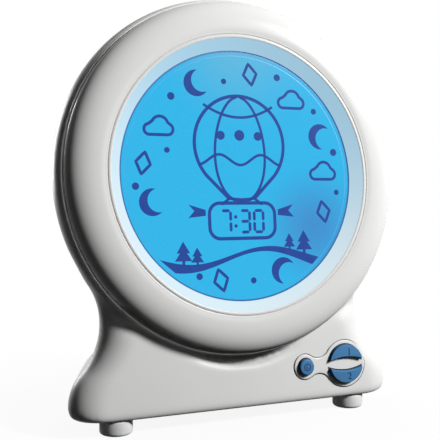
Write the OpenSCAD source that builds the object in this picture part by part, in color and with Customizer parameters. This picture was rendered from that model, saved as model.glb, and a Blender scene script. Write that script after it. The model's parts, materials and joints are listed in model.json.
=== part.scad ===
// Child's bedside alarm clock with a night-light dial on a flared stand.
// Millimetres. The table is z = 0, the dial faces -Y and +X is to its right.
// Dial pieces are turned about the dial axis: r is the radius, s the depth behind the bezel rim.

/* [Dial] */
// Lean of the dial back from upright, in degrees
tilt = 5.8; // [3:0.1:8]
// Height of the dial centre above the table
dial_height = 104; // [100:0.5:110]
// Radius of the round opening in the bezel
opening_r = 58.8; // [56:0.1:60]
// Outer radius of the bezel ring at its seam
bezel_r = 75; // [73:0.1:76]
// How far the crown of the bezel stands in front of its rim
bezel_crown = 0.9; // [0.4:0.1:2]
// Thickness of the bezel skin
bezel_skin = 2.2; // [1.6:0.1:2.6]
// Radius of the lit display disc that shows
display_r = 52.8; // [48:0.1:54]
// Depth of the display glass behind the bezel rim
display_s = 4.2; // [3.6:0.1:5]
// Thickness of the display glass
display_t = 2.6; // [2:0.1:2.7]

/* [Head] */
// Largest radius of the head
head_r = 77.2; // [76:0.1:79]
// Depth of the head from the bezel rim to its back
head_depth = 45; // [43:0.5:52]
// Depth of the body's front face behind the bezel rim
face_s = 7.8; // [7.6:0.1:8.4]
// Rounding of the head's front shoulder
shoulder_r = 5; // [4:0.1:5.6]
// Rounding of the head's back edge
back_edge_r = 14; // [10:0.5:18]
// Narrowing of the sides towards the back, in degrees
side_taper = 14; // [8:1:16]

/* [Stand] */
// Width of the stand at its foot
stand_w = 145.8; // [142:0.2:152]
// Width of the waist under the head
waist_w = 118.2; // [115:0.2:124]
// Radius of the curve that opens the waist up to the head
neck_open_r = 27; // [24:0.5:32]
// Height of the waist above the table
waist_height = 44; // [42:0.5:48]
// Depth of the stand at its foot
stand_d = 59; // [57:0.5:63]
// Depth of the waist
waist_d = 42; // [40:0.5:43]
// Plan rounding of the front corners along the front
corner_w = 13; // [9:0.5:16]
// Plan rounding of the front corners along the sides
corner_d = 10; // [8:0.2:12]
// Plan rounding of the rear corners
rear_corner_r = 14; // [9:0.5:16]
// Narrowing of the stand's sides towards the back, in degrees
stand_taper = 20; // [16:1:22]
// Rounding of the lower edge
edge_r = 4.4; // [3.6:0.2:5.6]
// Radius of the outward curve just above the foot
flare_r = 18.6; // [14:0.2:22]
// Width of the cove between the head and the stand's face
cove_w = 4.6; // [3:0.2:6]
// Depth of that cove
cove_d = 4.4; // [3:0.2:5]
// Wall thickness of the housings
wall = 2.4; // [2:0.1:2.8]
// Where the two housings part, behind the stand's front edge
split_d = 26; // [24:0.5:28]
// Height of the feet
foot_h = 6.1; // [5:0.1:8]
// Diameter of the feet
foot_dia = 13.4; // [10:0.2:15]
// Distance of each foot from the middle of the stand
foot_x = 53.9; // [48:0.1:56]
// Thickness of the base plate
plate_t = 2; // [1.6:0.1:3]

/* [Buttons] */
// Height of the buttons above the table
button_height = 21; // [20.4:0.1:22]
// Distance of the round button from the middle
round_x = 28.3; // [26:0.1:29]
// Distance of the pair of half-round buttons from the middle
pair_x = 48; // [46:0.1:49]
// Diameter of the round button
round_dia = 7; // [6:0.1:8]
// Diameter across the pair
pair_dia = 16.6; // [15:0.1:18]
// Height of the bar between the pair at its middle
bar_mid = 5.2; // [4.6:0.1:5.6]
// Height of the bar at its ends
bar_end = 3; // [2.6:0.1:3.4]
// How far the buttons stand out of their plate
button_out = 1.8; // [1.4:0.1:3]
// Travel of each button
travel = 1; // [0.6:0.1:1.2]
// White margin of the plate round each button
margin = 1.9; // [1.6:0.1:2.2]
// Radius of the hollows in the waist of the plate
neck_r = 6; // [5:0.5:8]

/* [Insides] */
// Thickness of every circuit board
board_t = 1.6; // [1:0.1:1.8]
// Width of the main board
board_w = 76; // [70:1:80]
// Height of the main board
board_h = 44; // [40:1:46]
// Diameter of the loudspeaker
speaker_dia = 36; // [32:0.5:37]
// Diameter of the ring of lamps on the lamp board
lamp_ring_dia = 44; // [36:1:50]
// Number of lamps in that ring
lamp_count = 8; // [4:1:10]
// Shank diameter of the long screws
screw_dia = 3; // [2.6:0.1:3.2]
// Length of the long screws
screw_len = 16; // [14:0.5:17]
// Bore of the power inlet
inlet_dia = 6.2; // [5.6:0.1:6.4]

/* [Clearances] */
// Gap between flat parts that rest on each other
seat_gap = 0.1; // [0.05:0.05:0.2]
// Gap round parts that drop into an opening
fit_gap = 0.3; // [0.2:0.05:0.4]
// Gap round the moving buttons
slide_gap = 0.3; // [0.2:0.05:0.35]
// Gap round a screw shank
screw_gap = 0.08; // [0.05:0.01:0.12]

/* [Hidden] */
$fn = 96;

// Middle of the depth lies at y = 0: the bezel's lower crown in front, the stand's heel behind
face_run = face_s / cos(tilt);
stand_z = foot_h;
// Bezel profile: a quarter oval from the crest out to the rim
crest_r = opening_r + 3.2;
rim_s = face_s - 0.4;
bezel_deep = rim_s + bezel_crown;
bezel_wide = bezel_r - crest_r;
// Rolled inner edge of the bezel, and the like edge of the light ring
lip_w = 0.9;
lip_s = 0.35;
lip_out = bezel_crown - 0.28;
crown_front = norm([bezel_deep * cos(tilt), bezel_wide * sin(tilt)])
  + crest_r * sin(tilt) - rim_s * cos(tilt);
stand_front = face_run - (dial_height - stand_z) * tan(tilt);
dial_y = (crown_front - stand_front - stand_d) / 2;
front_y = dial_y + stand_front;
heel_y = front_y + stand_d;
split_y = front_y + split_d;
screw_r = screw_dia / 2;
head_screw_r = screw_r + 1.4;
head_screw_h = 2;
boss_r = screw_r + 2;

// ---- helpers ----

// Points along an arc, from angle a0 to a1 in n steps
function arc(c, r, a0, a1, n) =
  [for (i = [0 : n]) c + r * [cos(a0 + (a1 - a0) * i / n), sin(a0 + (a1 - a0) * i / n)]];

// Places children in the dial's own frame: x right, y back along the dial axis, z up the dial
module leaned() {
  translate([0, dial_y, dial_height]) rotate([-tilt, 0, 0]) children();
}

// Turns a profile of [radius, depth] points about the dial axis
module turned(points) {
  leaned() rotate([-90, 0, 0]) rotate_extrude() polygon(points);
}

// A rod along the dial axis at (x, h) on the dial, from depth s0 to s1
module rod(x, h, r, s0, s1) {
  translate([x, s0, h]) rotate([-90, 0, 0]) cylinder(r = r, h = s1 - s0, $fn = 32);
}

// A block centred on (x, h) of the dial, from depth s0 to s1
module slab(x, h, w, d, s0, s1) {
  translate([x - w / 2, s0, h - d / 2]) cube([w, s1 - s0, d]);
}

// A flat outline drawn on the dial's x and h, from depth s0 to s1
module plate(s0, s1) {
  translate([0, s1, 0]) rotate([90, 0, 0]) linear_extrude(s1 - s0) children();
}

// A rod along Y
module rod_y(x, z, r, y0, y1) {
  translate([x, y0, z]) rotate([-90, 0, 0]) cylinder(r = r, h = y1 - y0, $fn = 32);
}

// A pan-head screw along +Y, whose head ends at y0 and whose shank runs to the front
module screw_y(x, z, y0, len) {
  rod_y(x, z, head_screw_r, y0, y0 + head_screw_h);
  rod_y(x, z, screw_r, y0 - len, y0 + 0.01);
}

// A small pan-head screw along the dial axis, head at depth s0 and shank in front of it
module screw_s(x, h, s0, len, r) {
  rod(x, h, r + 1.1, s0, s0 + 1.5);
  rod(x, h, r, s0 - len, s0 + 0.01);
}

// A ribbon or lead of thickness t along a path of [depth, height] points
function unit(v) = v / norm(v);
function side_of(a, b) = let (d = unit(b - a)) [-d[1], d[0]];
function mitre(p, i) =
  let (n = len(p),
       a = i == 0 ? side_of(p[0], p[1]) : side_of(p[i - 1], p[i]),
       b = i == n - 1 ? a : side_of(p[i], p[i + 1]),
       m = unit(a + b))
  m / (m * a);
function band(p, t) = concat(
  [for (i = [0 : len(p) - 1]) p[i] + mitre(p, i) * t / 2],
  [for (i = [len(p) - 1 : -1 : 0]) p[i] - mitre(p, i) * t / 2]);
module ribbon(path, x, w, t) {
  leaned() translate([x - w / 2, 0, 0]) rotate([90, 0, 90]) linear_extrude(w) polygon(band(path, t));
}

// ---- the body: a turned head that runs into a flared stand ----

shoulder_c = [head_r - shoulder_r, face_s + shoulder_r - 0.3];
taper_n = [cos(side_taper), sin(side_taper)];
taper_t = [-sin(side_taper), cos(side_taper)];
taper_len = (head_depth - back_edge_r - shoulder_c[1]
             - (shoulder_r - back_edge_r) * sin(side_taper)) / cos(side_taper);
back_c = shoulder_c + (shoulder_r - back_edge_r) * taper_n + taper_len * taper_t;

// Section of the head, drawn inwards by o
function head_section(o) = concat(
  [[0, face_s + o], [shoulder_c[0] - 1, face_s + o]],
  arc(shoulder_c, shoulder_r - o, -80, side_taper, 8),
  arc(back_c, back_edge_r - o, side_taper, 90, 6),
  [[0, head_depth - o]]);

// Half width or rear reach at height h: an outward curve at the foot, an inward one at the waist
function flare(h, edge, waist, rise) =
  let (fall = edge - waist,
       both = (fall * fall + rise * rise) / (2 * fall),
       r1 = min(flare_r, both - 8),
       r2 = both - r1,
       turn = asin(rise / both),
       k = h - edge_r)
  k <= 0 ? edge
  : k < r1 * sin(turn) ? edge - r1 + sqrt(r1 * r1 - k * k)
  : k < rise ? waist + r2 - sqrt(r2 * r2 - (rise - k) * (rise - k))
  : waist;
waist_rise = waist_height - stand_z - edge_r;
// Above the waist the sides open again to meet the head
function opened(h) =
  let (k = h - waist_rise - edge_r)
  k <= 0 ? 0 : neck_open_r - sqrt(neck_open_r * neck_open_r - k * k);
function lower_edge(h, r) = h < r ? r - sqrt(r * r - (r - h) * (r - h)) : 0;
function half_w(h) = flare(h, stand_w / 2, waist_w / 2, waist_rise) + opened(h) - lower_edge(h, edge_r);
function rear_y(h) = front_y + flare(h, stand_d, waist_d, waist_rise) - lower_edge(h, edge_r);
function face_y(h) = front_y + h * tan(tilt) + lower_edge(h, edge_r / 2);

// Right half of the stand's plan at height h, drawn inwards by o, from front to back
function half_plan(h, o) =
  let (w = half_w(h),
       ridge_y = face_y(h) + corner_d,
       front_c = [w - corner_w, ridge_y],
       p = front_c + [(corner_w - o) * cos(stand_taper), (corner_d - o) * sin(stand_taper)],
       r = rear_corner_r - o,
       rear_cy = rear_y(h) - rear_corner_r,
       start_y = rear_cy + r * sin(stand_taper),
       rear_cx = p[0] - (start_y - p[1]) * tan(stand_taper) - r * cos(stand_taper))
  concat(
    [for (a = [90 : -15 : 0]) front_c + [(corner_w - o) * cos(a), -(corner_d - o) * sin(a)]],
    [p],
    [for (a = [stand_taper : (90 - stand_taper) / 5 : 90.01]) [rear_cx, rear_cy] + r * [cos(a), sin(a)]]);
function plan(h, o) =
  let (right = half_plan(h, o), n = len(right))
  concat(right, [for (i = [n - 1 : -1 : 0]) [-right[i][0], right[i][1]]]);

// Closed solid through a stack of plans of equal length
module stack(rings) {
  n = len(rings[0]);
  top = len(rings) - 1;
  polyhedron(
    points = [for (ring = rings) each ring],
    faces = concat(
      [[for (i = [0 : n - 1]) i]],
      [[for (i = [n - 1 : -1 : 0]) top * n + i]],
      [for (k = [0 : top - 1], i = [0 : n - 1])
        [k * n + i, (k + 1) * n + i, k * n + (i + 1) % n]],
      [for (k = [0 : top - 1], i = [0 : n - 1])
        [(k + 1) * n + i, (k + 1) * n + (i + 1) % n, k * n + (i + 1) % n]]),
    convexity = 6);
}

stand_top = waist_height - stand_z + neck_open_r * 2 / 3;
rise_steps = 9;
levels = concat(
  [for (i = [0 : 2]) edge_r * (1 - cos(30 * i))],
  [for (i = [0 : rise_steps]) edge_r + (stand_top - edge_r) * i / rise_steps]);
module stand_solid(o) {
  stack([for (h = levels) [for (p = plan(h, o)) [p[0], p[1], stand_z + h]]]);
}

// Ring-shaped cut that leaves the head standing clear of the stand's face
module cove(o) {
  r0 = bezel_r - 2;
  r1 = head_r + cove_w;
  turned([[r0, face_s - 8], [r1 + o + 1.5, face_s - 8], [r1 + o + 1.5, face_s - 0.4],
          [r1 + o, face_s + o + 0.4], [r1 + o - cove_w / 2, face_s + o + cove_d * 0.8],
          [head_r - 0.3, face_s + o + cove_d], [r0, face_s + o + cove_d]]);
}
module body_solid() {
  turned(head_section(0));
  difference() {
    stand_solid(0);
    cove(0);
  }
}
module body_hollow() {
  turned(head_section(wall));
  difference() {
    translate([0, 0, -0.01]) stand_solid(wall);
    cove(wall);
  }
}

// Keeps what lies in front of the parting plane, or behind it
module front_half() {
  intersection() {
    children();
    translate([-150, split_y - 200, -10]) cube([300, 200, 300]);
  }
}
module rear_half() {
  intersection() {
    children();
    translate([-150, split_y, -10]) cube([300, 200, 300]);
  }
}

// ---- shared places ----

// [depth, height] on the dial's own axes of the point at y, z
function dial_point(y, z) =
  let (dy = y - dial_y, dz = z - dial_height)
  [dy * cos(tilt) - dz * sin(tilt), dz * cos(tilt) + dy * sin(tilt)];

inner_s = face_s + wall + seat_gap;
back_s = head_depth - wall;
stack_r = display_r + 1.2;
ring_r = opening_r - fit_gap;
frame_r = stack_r + fit_gap;
display_back = display_s + display_t + seat_gap;
film_t = 0.5;
opal_t = 2;
opal_s = display_back + seat_gap + film_t;
frame_s = opal_s + opal_t + seat_gap;
frame_back = inner_s + 1.7;
bowl_s = frame_back + seat_gap;
lamp_board_s = bowl_s + 13;
lamp_h = 1.6;
lamp_board_r = lamp_ring_dia / 2 + 12;
link_h = 7.8;
board_s = lamp_board_s + board_t + link_h;
board_drop = 10;
chip_h = 1.5;

// Four screws hold the bezel, the front wall and the panel frame together
clamp_screw_r = 1.2;
clamp_ring = opening_r + 5.7;
clamp_spots = [for (a = [30, 150, 210, 330]) clamp_ring * [cos(a), sin(a)]];

// Housing screws, in pairs either side of the middle: [how far inside the head's edge, angle]
boss_turns = [[10, 45.6], [10.4, -8.6], [5, -48.4]];
boss_spots = [for (t = boss_turns, side = [-1, 1])
  [side * (head_r - t[0]) * cos(t[1]), dial_height + (head_r - t[0]) * sin(t[1])]];
screw_head_y = split_y + 5;

// Middle of the front wall at height z
function front_wall_y(z) =
  dial_y + (face_s + wall / 2) / cos(tilt) + (z - dial_height) * tan(tilt);

// Screws of the base plate: the front pair into the front housing, the rear pair into the rear one
plate_lift = 1.8;
plate_z = stand_z + plate_lift;
plate_top = plate_z + plate_t;
post_h = 14;
post_r = 3;
post_screw_r = 1.3;
post_screw_len = 10;
post_head_r = post_screw_r + 0.9;
post_off = wall + post_head_r + fit_gap;
front_post_y = front_y + edge_r / 2 + post_off;
rear_post_y = heel_y - edge_r - post_off;
web_t = 2;
post_spots = [[-10, front_post_y], [10, front_post_y], [-24, rear_post_y], [24, rear_post_y]];
// Posts that a web joins to the wall, whose middle lies at wall_y
module posts(spots, wall_y) {
  for (p = spots) translate([p[0], 0, plate_top + seat_gap]) {
    translate([0, p[1], 0]) cylinder(r = post_r, h = post_h, $fn = 32);
    translate([-web_t / 2, min(p[1], wall_y), 0]) cube([web_t, abs(wall_y - p[1]), post_h]);
  }
}
module post_bores(spots) {
  for (p = spots) translate([p[0], p[1], plate_top])
    cylinder(r = post_screw_r + screw_gap, h = post_screw_len + 1, $fn = 32);
}

// Feet: a neck rises into the recess under the base plate, and a peg through the plate
foot_inset = foot_dia / 2 + 1.7;
rear_foot_x = foot_x - 14;
peg_r = 2.4;
foot_neck_r = 3.7;
foot_spots = [[-foot_x, front_y + foot_inset], [foot_x, front_y + foot_inset],
              [-rear_foot_x, heel_y - foot_inset - 4], [rear_foot_x, heel_y - foot_inset - 4]];

// Power inlet, low in the middle of the back
jack_z = stand_z + 14;
jack_floor_y = heel_y - 11;
jack_nose_r = inlet_dia / 2 + 0.9;
jack_pocket_r = jack_nose_r + 2.4;
jack_body_d = 14;

// Loudspeaker, high on the flat of the back wall, and the two bosses of its clamp
clamp_wall = 1.8;
clamp_boss_r = 2.6;
speaker_r = speaker_dia / 2;
clamp_r = speaker_r + fit_gap + clamp_wall;
speaker_h = back_c[0] - clamp_r - 2.2;
clamp_lug_x = clamp_r + fit_gap + clamp_boss_r;

// Buttons
plate_front_s = face_s - 0.4;
plate_back_s = inner_s + 1.3;
button_h = (button_height - dial_height + face_s * sin(tilt)) / cos(tilt);
button_front_s = plate_front_s - button_out;
collar_s = plate_back_s + slide_gap;
collar_t = 1.2;
collar_over = 1;
collar_back_s = collar_s + collar_t;
pair_r = pair_dia / 2;
bar_sag = (bar_mid - bar_end) / 2;
bar_r = (pair_r * pair_r + bar_sag * bar_sag) / (2 * bar_sag);
pair_off = (pair_r + bar_mid / 2) / 2 - 0.8;
plunger_r = 1.5;
plunger_len = 2.1;
switch_w = 6.2;
switch_s = collar_back_s + travel + 0.5;
switch_t = 3.4;
key_board_s = switch_s + switch_t;
key_screw_r = 1;
key_boss_r = 2.4;
// Lip of the plate behind the housing's front wall
plate_lip = 1.2;
// Two screws hold the key board, one at each end of the row: [x, h, where its boss starts]
key_screw_off = margin + plate_lip + key_boss_r + 0.5;
key_screw_spots = [
  [round_x - round_dia / 2 - key_screw_off, button_h, face_s + wall / 2],
  [pair_x + pair_r + key_screw_off, button_h, face_s + wall * 0.9]];
// Centres of the three keys: [x, offset above the row]
key_spots = [[round_x, 0], [pair_x, pair_off], [pair_x, -pair_off]];

// ---- outlines ----

// Plate round the buttons: two discs joined by a waist, drawn outwards by o
function plate_outline(o) =
  let (r1 = round_dia / 2 + margin,
       r2 = pair_r + margin,
       d = pair_x - round_x,
       xc = (d * d - (r2 - r1) * (r1 + r2 + 2 * neck_r)) / (2 * d),
       yc = sqrt(pow(r1 + neck_r, 2) - xc * xc),
       a1 = atan2(yc, xc),
       a2 = atan2(yc, xc - d))
  concat(
    arc([0, 0], r1 + o, a1, 360 - a1, 20),
    arc([xc, -yc], neck_r - o, 180 - a1, 180 - a2, 8),
    arc([d, 0], r2 + o, -a2, a2, 28),
    arc([xc, yc], neck_r - o, a2 - 180, a1 - 180, 8));
module plate_shape(o) {
  translate([round_x, button_h]) polygon(plate_outline(o));
}
module round_shape(o) {
  translate([round_x, button_h]) circle(r = round_dia / 2 + o);
}
// One half of the pair: side is 1 for the upper, -1 for the lower
module half_shape(side, o) {
  translate([pair_x, button_h]) difference() {
    circle(r = pair_r + o);
    translate([0, side * (bar_mid / 2 - bar_r)]) circle(r = bar_r - o);
    translate([-pair_r - 2, side > 0 ? -pair_r - 2 : 0]) square([2 * pair_r + 4, pair_r + 2]);
  }
}

// ---- housings ----

module front_housing() {
  color("whitesmoke") difference() {
    union() {
      front_half() difference() {
        body_solid();
        body_hollow();
      }
      for (p = boss_spots)
        rod_y(p[0], p[1], boss_r, front_wall_y(p[1]), split_y);
      posts([post_spots[0], post_spots[1]], face_y(post_h) + wall / 2);
      leaned() for (p = key_screw_spots) rod(p[0], p[1], key_boss_r, p[2], key_board_s);
    }
    leaned() {
      rod(0, 0, frame_r + 5.2, face_s - 1, inner_s + 1);
      for (p = clamp_spots) rod(p[0], p[1], clamp_screw_r + screw_gap, face_s - 1, inner_s + 1);
      plate(face_s - 6, plate_back_s + seat_gap) plate_shape(fit_gap);
      lip(fit_gap);
      plate(inner_s, collar_back_s + travel + fit_gap) {
        round_shape(collar_over + slide_gap);
        half_shape(1, collar_over + slide_gap);
        half_shape(-1, collar_over + slide_gap);
      }
      for (p = key_screw_spots)
        rod(p[0], p[1], key_screw_r + screw_gap, key_board_s - 5.5, key_board_s + 1);
    }
    for (p = boss_spots)
      rod_y(p[0], p[1], screw_r + screw_gap, screw_head_y - screw_len - 1, split_y + 1);
    post_bores([post_spots[0], post_spots[1]]);
  }
}

module speaker_grille() {
  slot_w = 1.6;
  pitch = 3.6;
  grille_r = speaker_r - 4;
  leaned() for (i = [-3 : 3])
    let (reach = sqrt(grille_r * grille_r - pow(i * pitch, 2)))
    slab(0, speaker_h + i * pitch, 2 * reach, slot_w, back_s - 1, head_depth + 1);
}

module rear_housing() {
  color("whitesmoke") difference() {
    union() {
      rear_half() difference() {
        body_solid();
        body_hollow();
      }
      intersection() {
        union() {
          for (p = boss_spots) rod_y(p[0], p[1], head_screw_r + 1.8, split_y, split_y + 60);
          posts([post_spots[2], post_spots[3]], heel_y - wall / 2);
          rod_y(0, jack_z, jack_pocket_r + 2, jack_floor_y - 2.2, heel_y);
        }
        body_solid();
      }
      leaned() {
        for (x = [-1, 1], h = [-1, 1])
          rod(x * (board_w / 2 - 4), h * (board_h / 2 - 4) - board_drop, 2.6,
              board_s + board_t, back_s + 0.5);
        for (side = [-1, 1])
          rod(side * clamp_lug_x, speaker_h, clamp_boss_r, back_s - 1.6, back_s + 0.5);
      }
    }
    for (p = boss_spots) {
      rod_y(p[0], p[1], screw_r + screw_gap, split_y - 1, screw_head_y + 1);
      rod_y(p[0], p[1], head_screw_r + 0.3, screw_head_y, split_y + 60);
    }
    post_bores([post_spots[2], post_spots[3]]);
    rod_y(0, jack_z, jack_pocket_r, jack_floor_y, heel_y + 1);
    rod_y(0, jack_z, jack_nose_r + fit_gap, jack_floor_y - 3, jack_floor_y + 1);
    speaker_grille();
    leaned() {
      for (x = [-1, 1], h = [-1, 1])
        rod(x * (board_w / 2 - 4), h * (board_h / 2 - 4) - board_drop, key_screw_r + screw_gap,
            board_s, back_s);
      for (side = [-1, 1])
        rod(side * clamp_lug_x, speaker_h, key_screw_r + screw_gap, back_s - 3, back_s + 1.2);
    }
  }
}

// ---- dial ----

function oval(c, a, b, a0, a1, n) =
  [for (i = [0 : n]) let (t = a0 + (a1 - a0) * i / n) c + [a * cos(t), -b * sin(t)]];
module bezel_ring() {
  color("white") difference() {
    union() {
      turned(concat(
        oval([crest_r, rim_s], bezel_wide, bezel_deep, 0, 90, 12),
        oval([opening_r + lip_w, lip_s], lip_w, lip_s + lip_out, 90, 180, 4),
        [[opening_r, 2.6], [crest_r - 0.4, 2.6]],
        oval([crest_r, rim_s], bezel_wide - bezel_skin, bezel_deep - bezel_skin, 88, 0, 10)));
      leaned() for (p = clamp_spots) rod(p[0], p[1], 2.9, 1, face_s);
    }
    leaned() for (p = clamp_spots) rod(p[0], p[1], clamp_screw_r + screw_gap, 2.6, face_s + 1);
  }
}

// Notch that lets the display's flex pass
flex_w = 16;
module flex_notch(s0, s1) {
  leaned() slab(0, -stack_r - 2, flex_w + 2, 5, s0, s1);
}
module light_ring() {
  color("lightblue") difference() {
    turned([[ring_r, lip_s], [ring_r - lip_w / 4, -lip_out / 2], [ring_r - lip_w, -lip_out],
            [ring_r - 1.7 * lip_w, 0], [display_r, display_s - 0.4],
            [display_r, display_s - seat_gap], [frame_r, display_s - seat_gap],
            [frame_r, opal_s], [ring_r + 2.4, opal_s], [ring_r + 2.4, 2.8], [ring_r, 2.8]]);
    flex_notch(display_s + 0.4, opal_s + 1);
  }
}
module disc(s0, t, r) {
  turned([[0, s0], [r, s0], [r, s0 + t], [0, s0 + t]]);
}
module display_panel() {
  color("deepskyblue") disc(display_s, display_t, stack_r);
}
module diffuser_film() {
  color("white") disc(display_back, film_t, stack_r);
}
module opal_diffuser() {
  color("ghostwhite") disc(opal_s, opal_t, stack_r);
}
module panel_frame() {
  color("gainsboro") difference() {
    union() {
      turned([[frame_r, opal_s + seat_gap], [frame_r + 4.9, opal_s + seat_gap],
              [frame_r + 4.9, inner_s], [frame_r + 7, inner_s], [frame_r + 7, frame_back],
              [frame_r - 7, frame_back], [frame_r - 7, frame_s], [frame_r, frame_s]]);
      leaned() for (p = clamp_spots) rod(p[0], p[1], 4, inner_s, frame_back);
    }
    leaned() for (p = clamp_spots)
      rod(p[0], p[1], clamp_screw_r + screw_gap, inner_s - 1, frame_back + 1);
    flex_notch(opal_s, frame_back + 1);
  }
}
module panel_screws() {
  color("silver") leaned() for (p = clamp_spots)
    screw_s(p[0], p[1], frame_back, frame_back - 3.2, clamp_screw_r);
}
module reflector_bowl() {
  color("white") difference() {
    turned([[frame_r - 5, bowl_s], [frame_r + 2, bowl_s], [frame_r + 2, bowl_s + 1.2],
            [frame_r - 4.4, bowl_s + 1.2], [lamp_board_r + 0.5, lamp_board_s],
            [lamp_board_r - 4, lamp_board_s], [lamp_board_r - 4, lamp_board_s - 1.4],
            [lamp_board_r - 1, lamp_board_s - 1.4]]);
    flex_notch(bowl_s - 1, bowl_s + 3);
  }
}
module lamp_board() {
  color("darkgreen") disc(lamp_board_s, board_t, lamp_board_r);
}
module backlight_lamps() {
  color("lightyellow") leaned() {
    for (i = [0 : lamp_count - 1])
      let (a = 360 * i / lamp_count)
      slab(lamp_ring_dia / 2 * cos(a), lamp_ring_dia / 2 * sin(a), 5, 5,
           lamp_board_s - lamp_h, lamp_board_s);
    slab(0, 0, 5, 5, lamp_board_s - lamp_h, lamp_board_s);
  }
}

// ---- electronics ----

module main_board() {
  color("green") difference() {
    leaned() slab(0, -board_drop, board_w, board_h, board_s, board_s + board_t);
    leaned() for (x = [-1, 1], h = [-1, 1])
      rod(x * (board_w / 2 - 4), h * (board_h / 2 - 4) - board_drop, key_screw_r + screw_gap,
          board_s - 1, board_s + board_t + 1);
  }
}
// Processor, memory, amplifier, two storage cans and a crystal on the main board
module board_chips() {
  color("dimgray") leaned() {
    slab(-14, -4, 11, 11, board_s - chip_h, board_s);
    slab(2, 1, 7, 5, board_s - chip_h, board_s);
    slab(16, -16, 6, 5, board_s - chip_h, board_s);
    slab(-26, -16, 4, 9, board_s - 2 * chip_h, board_s);
    for (x = [22, 30]) rod(x, 2, 3, board_s - 6.5, board_s);
  }
}
module board_link() {
  color("black") leaned() slab(0, -17, 22, 5, lamp_board_s + board_t, board_s);
}
module board_screws() {
  color("silver") leaned() for (x = [-1, 1], h = [-1, 1]) {
    rod(x * (board_w / 2 - 4), h * (board_h / 2 - 4) - board_drop, key_screw_r + 1.1,
        board_s - 1.5, board_s);
    rod(x * (board_w / 2 - 4), h * (board_h / 2 - 4) - board_drop, key_screw_r,
        board_s - 0.01, back_s - 1);
  }
}
ribbon_t = 0.3;
key_ribbon_w = 9;
module display_flex() {
  edge = -board_drop - board_h / 2;
  color("orange") ribbon([[display_s + 1, -stack_r - 0.3], [bowl_s + 2.4, -stack_r - 0.3],
    [board_s - 0.3, edge + 1], [board_s - 0.3, edge + 5]], 0, flex_w, ribbon_t);
}

// ---- buttons ----

// Lip behind the front wall, cut back round the cove, drawn outwards by o
module lip(o) {
  difference() {
    plate(inner_s - o / 3, plate_back_s + o) plate_shape(plate_lip + o);
    rod(0, 0, head_r + cove_w + wall + fit_gap - o / 3, inner_s - 1, plate_back_s + 1);
  }
}
module button_plate() {
  color("white") difference() {
    leaned() {
      plate(plate_front_s, plate_back_s) plate_shape(0);
      lip(0);
    }
    leaned() plate(plate_front_s - 1, plate_back_s + 1) {
      round_shape(slide_gap);
      half_shape(1, slide_gap);
      half_shape(-1, slide_gap);
    }
  }
}
module round_button() {
  color("steelblue") leaned() {
    plate(button_front_s, collar_back_s) round_shape(0);
    plate(collar_s, collar_back_s) round_shape(collar_over);
  }
}
module half_button(side) {
  color("steelblue") leaned() {
    plate(button_front_s, collar_back_s) half_shape(side, 0);
    plate(collar_s, collar_back_s) half_shape(side, collar_over);
  }
}
module upper_button() {
  half_button(1);
}
module lower_button() {
  half_button(-1);
}
module plunger(i) {
  color("dimgray") leaned()
    rod(key_spots[i][0], button_h + key_spots[i][1], plunger_r,
        collar_back_s, collar_back_s + plunger_len);
}
module key_switches() {
  color("gray") leaned() for (p = key_spots) difference() {
    slab(p[0], button_h + p[1], switch_w, switch_w, switch_s, key_board_s);
    rod(p[0], button_h + p[1], plunger_r + slide_gap, switch_s - 1,
        collar_back_s + plunger_len + travel + 0.4);
  }
}
key_board_x0 = key_screw_spots[0][0] - key_boss_r;
key_board_x1 = pair_x + pair_r + 0.5;
key_tongue_x = key_screw_spots[1][0] + key_boss_r;
key_board_h = 2 * (pair_r + 1.2);
module key_board() {
  color("green") leaned() difference() {
    union() {
      slab((key_board_x0 + key_board_x1) / 2, button_h, key_board_x1 - key_board_x0,
           key_board_h, key_board_s, key_board_s + board_t);
      slab((pair_x + key_tongue_x) / 2, button_h, key_tongue_x - pair_x, 2 * key_boss_r,
           key_board_s, key_board_s + board_t);
    }
    for (p = key_screw_spots)
      rod(p[0], p[1], key_screw_r + screw_gap, key_board_s - 1, key_board_s + board_t + 1);
  }
}
module key_board_screws() {
  color("silver") leaned() for (p = key_screw_spots)
    screw_s(p[0], p[1], key_board_s + board_t, 6.6, key_screw_r);
}
module key_ribbon() {
  back = key_board_s + board_t + 0.25;
  edge = -board_drop - board_h / 2;
  color("orange") ribbon([[back, button_h - 3], [back, button_h + 8], [board_s - 1.5, edge - 6],
    [board_s - 0.3, edge], [board_s - 0.3, edge + 4]],
    key_board_x0 + 2 * key_boss_r + key_ribbon_w / 2, key_ribbon_w, ribbon_t);
}

// ---- sound and power ----

module turned_at(h, points) {
  leaned() translate([0, 0, h]) rotate([-90, 0, 0]) rotate_extrude() polygon(points);
}
basket_s = back_s - seat_gap;
module speaker_basket() {
  r = speaker_r;
  color("dimgray") turned_at(speaker_h, [[r, basket_s], [r, basket_s - 1.6], [r - 1.6, basket_s - 1.6],
    [r - 6.5, basket_s - 6], [5, basket_s - 6], [5, basket_s - 5], [r - 7, basket_s - 5],
    [r - 3, basket_s - 1], [r - 3, basket_s]]);
}
module speaker_magnet() {
  color("darkgray") turned_at(speaker_h,
    [[0, basket_s - 9.8], [9, basket_s - 9.8], [9, basket_s - 6], [0, basket_s - 6]]);
}
module speaker_cone() {
  r = speaker_r - 3.2;
  color("black") turned_at(speaker_h, [[0, basket_s - 2.9], [4, basket_s - 3.8], [5, basket_s - 4.4],
    [r, basket_s - 0.7], [r, basket_s - 0.2], [4.9, basket_s - 3.9], [0, basket_s - 2.4]]);
}
clamp_s = basket_s - 1.6 - seat_gap;
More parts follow.
